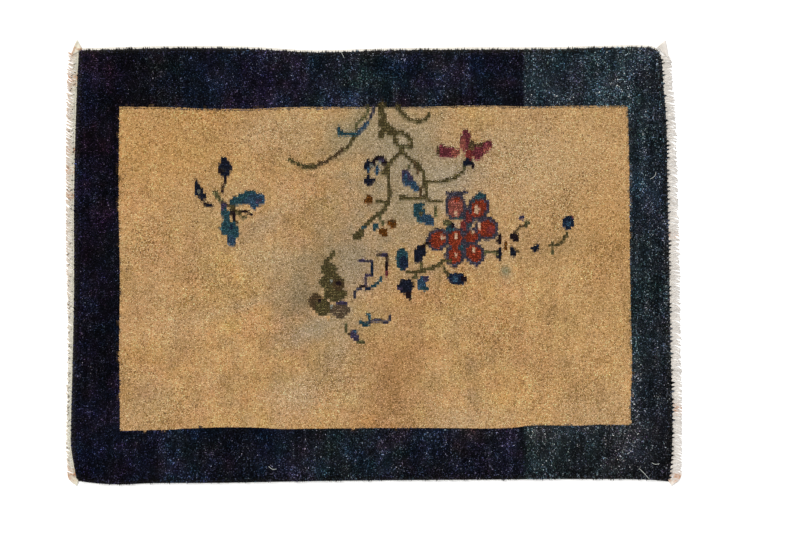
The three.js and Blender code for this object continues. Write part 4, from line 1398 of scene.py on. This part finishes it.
def web(side):
    """The band's surface: an arch of points across it. A hump is half of one plus the cosine of the way
    along, and between two humps a point sinks by its part of the hump's height."""
    facts = SIDES[side]
    low, high = facts["low"] - WEB_PAST, facts["high"] + WEB_PAST
    steps = PAIRS * HUMPS_A_PAIR * STEPS_A_HUMP
    y = np.linspace(low, high, steps)
    inner = side_x(side, y) + facts["outward"] * PARTING
    hump_length = (facts["high"] - facts["low"]) / (HUMPS_A_PAIR * PAIRS)
    hump = 0.5 + 0.5 * np.cos(2 * np.pi * (y - facts["low"]) / hump_length)
    z = ARCH_HEIGHTS[None] - HUMP_HEIGHT * ARCH_PARTS[None] * (1 - hump[:, None])
    x = inner[:, None] + facts["outward"] * WEB_WIDTH * ARCH_ACROSS[None]
    points = np.stack([x, np.broadcast_to(y[:, None], x.shape), z], axis=-1)
    sides = len(ARCH_ACROSS)
    number = np.arange(steps * sides).reshape(steps, sides)
    after = np.roll(number, -1, axis=1)
    quads = np.stack([number[:-1], after[:-1], after[1:], number[1:]], axis=-1)
    caps = np.stack([number[0, ::-1], number[-1]])
    if facts["outward"] < 0:
        quads, caps = quads[..., ::-1], caps[:, ::-1]
    length = np.linspace(0, (high - low) / PLY_TURN, steps)
    turn = np.arange(sides) / sides
    corner_turn = np.stack([turn, turn + 1 / sides, turn + 1 / sides, turn], axis=-1)
    corner_length = np.stack([length[:-1], length[:-1], length[1:], length[1:]], axis=-1)
    if facts["outward"] < 0:
        corner_turn, corner_length = corner_turn[:, ::-1], corner_length[:, ::-1]
    shape = (steps - 1, sides, 4)
    long = np.broadcast_to(corner_length[:, None], shape)
    yarn_map = np.stack([np.broadcast_to(corner_turn, shape), long], axis=-1).reshape(-1, 2)
    return {"points": points.reshape(-1, 3), "faces": [quads.reshape(-1, 4), caps],
            "yarn": np.concatenate([yarn_map, np.zeros((2 * sides, 2))])}


print("humps along each web:", HUMPS_A_PAIR * PAIRS)

# %% [markdown]
# ## Corner tufts
# At each corner the last few warps were twisted together and knotted off, and now stick out as a small tuft.
# Nine yarns start side by side, between an inner and an outer place, and cross over each other on their way
# to one tip. The lower two tufts are full on their outer side, and the upper two are pointed.

# %% Corner tufts
CORNER_TUFTS = {
    "left": [{"inner": (-418.6, 305.2), "outer": (-434.0, 296.0), "tip": (-425.6, 319.8), "full": 1.1},
             {"inner": (-424.0, -309.6), "outer": (-438.4, -300.0), "tip": (-426.2, -319.4), "full": 2.8}],
    "right": [{"inner": (406.0, 307.6), "outer": (422.0, 294.0), "tip": (418.2, 319.6), "full": 1.1},
              {"inner": (423.0, -310.6), "outer": (440.4, -299.0), "tip": (427.6, -319.4), "full": 2.8}],
}
TUFT_YARNS, TUFT_STEPS = 9, 14
TUFT_HEIGHT, TUFT_DROP = 1.7, 0.6
TUFT_TWIST = 4.2
TIP_BREADTH = 0.8
TUFT_RADII = [0.5, 1.05, 0.5]


def tuft_paths(tuft):
    """Paths from a line of starts to the tip. A path's way across is its share to a power that grows towards
    the outer side, which makes that side full. Each rises and falls by a sine, a little behind its
    neighbour."""
    share = np.linspace(0, 1, TUFT_STEPS)[None]
    lane = np.linspace(0, 1, TUFT_YARNS)[:, None]
    start_x = tuft["inner"][0] + (tuft["outer"][0] - tuft["inner"][0]) * lane
    start_y = tuft["inner"][1] + (tuft["outer"][1] - tuft["inner"][1]) * lane
    across = share ** (1 + (tuft["full"] - 1) * lane)
    end_x = tuft["tip"][0] + TIP_BREADTH * (lane - 0.5) * np.sign(tuft["outer"][0])
    end_y = tuft["tip"][1] * (1 - 0.004 * np.abs(lane - 0.4))
    x = start_x + (end_x - start_x) * across
    y = start_y + (end_y - start_y) * share
    z = TUFT_HEIGHT - TUFT_DROP * share + 0.5 * (1 + np.sin(2 * np.pi * share + TUFT_TWIST * lane))
    return np.stack([x, y, z], axis=-1)


print("a tuft has yarns and steps:", tuft_paths(CORNER_TUFTS["left"][0]).shape[:2])

# %% [markdown]
# The warp ends, the web and the tufts of one side were all the same warps, so they are one piece of scenery.
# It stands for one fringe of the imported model.

# %% Put each fringe together
TUBE_SIDES = 6


def fringe(side):
    """One fringe as one piece: the warp ends, the web and the two corner tufts."""
    end_radii = YARN_RADIUS * np.linspace(1.0, 0.84, END_STEPS)[None].repeat(2 * PAIRS, 0)
    outer = [yarns(warp_end_paths(side), end_radii, TUBE_SIDES)]
    tuft_radii = np.interp(np.linspace(0, 1, TUFT_STEPS), [0, 0.2, 1], TUFT_RADII)[None].repeat(TUFT_YARNS, 0)
    for tuft in CORNER_TUFTS[side]:
        outer.append(yarns(tuft_paths(tuft), tuft_radii, TUBE_SIDES))
    outer.append(web(side))
    starts = np.cumsum([0] + [len(part["points"]) for part in outer])
    points = np.concatenate([part["points"] for part in outer])
    faces, yarn_map = [], []
    for part, start in zip(outer, starts):
        faces += [group + start for group in part["faces"]]
        yarn_map.append(part["yarn"])
    return make_piece(f"fringe_yarns_{side}", points, faces, [cotton],
                      stained(side, points), maps={"yarn": np.concatenate(yarn_map)})


fringes = {side: fringe(side) for side in ("left", "right")}
for side, piece in fringes.items():
    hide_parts(f"fringe_{side}")
    print(piece.name, "has", sum(len(face.vertices) - 2 for face in piece.data.polygons), "triangles")

# %% [markdown]
# ## Loose threads
# A few weft ends have worked loose and lie on the border as thin pale threads.

# %% Loose threads on the border
THREADS = [
    [(-48, 303), (-45, 299), (-42, 293)],
    [(380, -294), (387, -301), (394, -309)],
    [(398, -286), (403, -288), (409, -287)],
    [(-150, -291), (-145, -295), (-139, -295)],
    [(396, 120), (402, 124), (404, 130)],
]
THREAD_RADIUS, THREAD_LIFT = 0.35, 0.25
THREAD_SINK = np.array([0.9, 0.3, 0, 0, 0, 0, 0, 0.3, 0.9])
THREAD_STEPS, THREAD_SIDES = len(THREAD_SINK), 5
THREAD_COLOUR = linear("#B9BDB6")

thread_line = np.stack([smooth_line(line, THREAD_STEPS) for line in THREADS])
thread_z = pile_height(thread_line[..., 0], thread_line[..., 1]) + THREAD_LIFT
thread_z = thread_z - THREAD_SINK
thread_paths = np.concatenate([thread_line, thread_z[..., None]], axis=-1)
thread_radii = np.full((len(THREADS), THREAD_STEPS), THREAD_RADIUS)
loose = yarns(thread_paths, thread_radii, THREAD_SIDES)
threads = make_piece("loose_threads", loose["points"], loose["faces"], [cotton],
                     np.repeat(THREAD_COLOUR[None], len(loose["points"]), axis=0),
                     maps={"yarn": loose["yarn"], "OFBake": loose["bake"]})
print(len(THREADS), "loose threads")

# %% [markdown]
# Cut pile sheds, and short bits of dark wool have caught in the left fringe. Each is a bent tube a few
# millimetres long, with three rings, that lies slanting over the warp ends and within their reach.

# %% Bits of wool in the left fringe
BITS = 110
BIT_RADIUS, BIT_SIDES = 0.34, 4
BIT_ROOM = 2.6
BIT_COLOUR = linear("#4A4034")

bit_y = chance.uniform(-285, 290, BITS)
bit_reach = np.interp(bit_y, REACH["left"]["y"], REACH["left"]["reach"])
bit_run = np.minimum(chance.uniform(2, 10, BITS), bit_reach - BIT_ROOM)
bit_x = side_x("left", bit_y) - bit_run
bit_step = np.linspace(-1, 1, 3) * chance.uniform(0.6, 1.6, (BITS, 1))
bit_slope = chance.uniform(-0.2, 1.2, (BITS, 1))
bit_z = np.interp(bit_run, [2, 4], [2.4, 1.8])[:, None] + np.array([0, 0.3, 0])
bit_paths = np.stack([bit_x[:, None] + bit_step, bit_y[:, None] + bit_step * bit_slope, bit_z], axis=-1)
caught = yarns(bit_paths, np.full((BITS, 3), BIT_RADIUS), BIT_SIDES)
bits = make_piece("caught_wool", caught["points"], caught["faces"], [wool],
                  np.repeat(BIT_COLOUR[None], len(caught["points"]), axis=0), maps={"OFBake": caught["bake"]})
print(BITS, "bits of wool")

# %% [markdown]
# ## One sheet of cloth
# The ground stands for the rug's solid together with its pile, so the solid is hidden. Everything that grows
# out of it is attached with it to one body.

for piece in [ground, *pile, threads, bits]:
    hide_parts("rug")
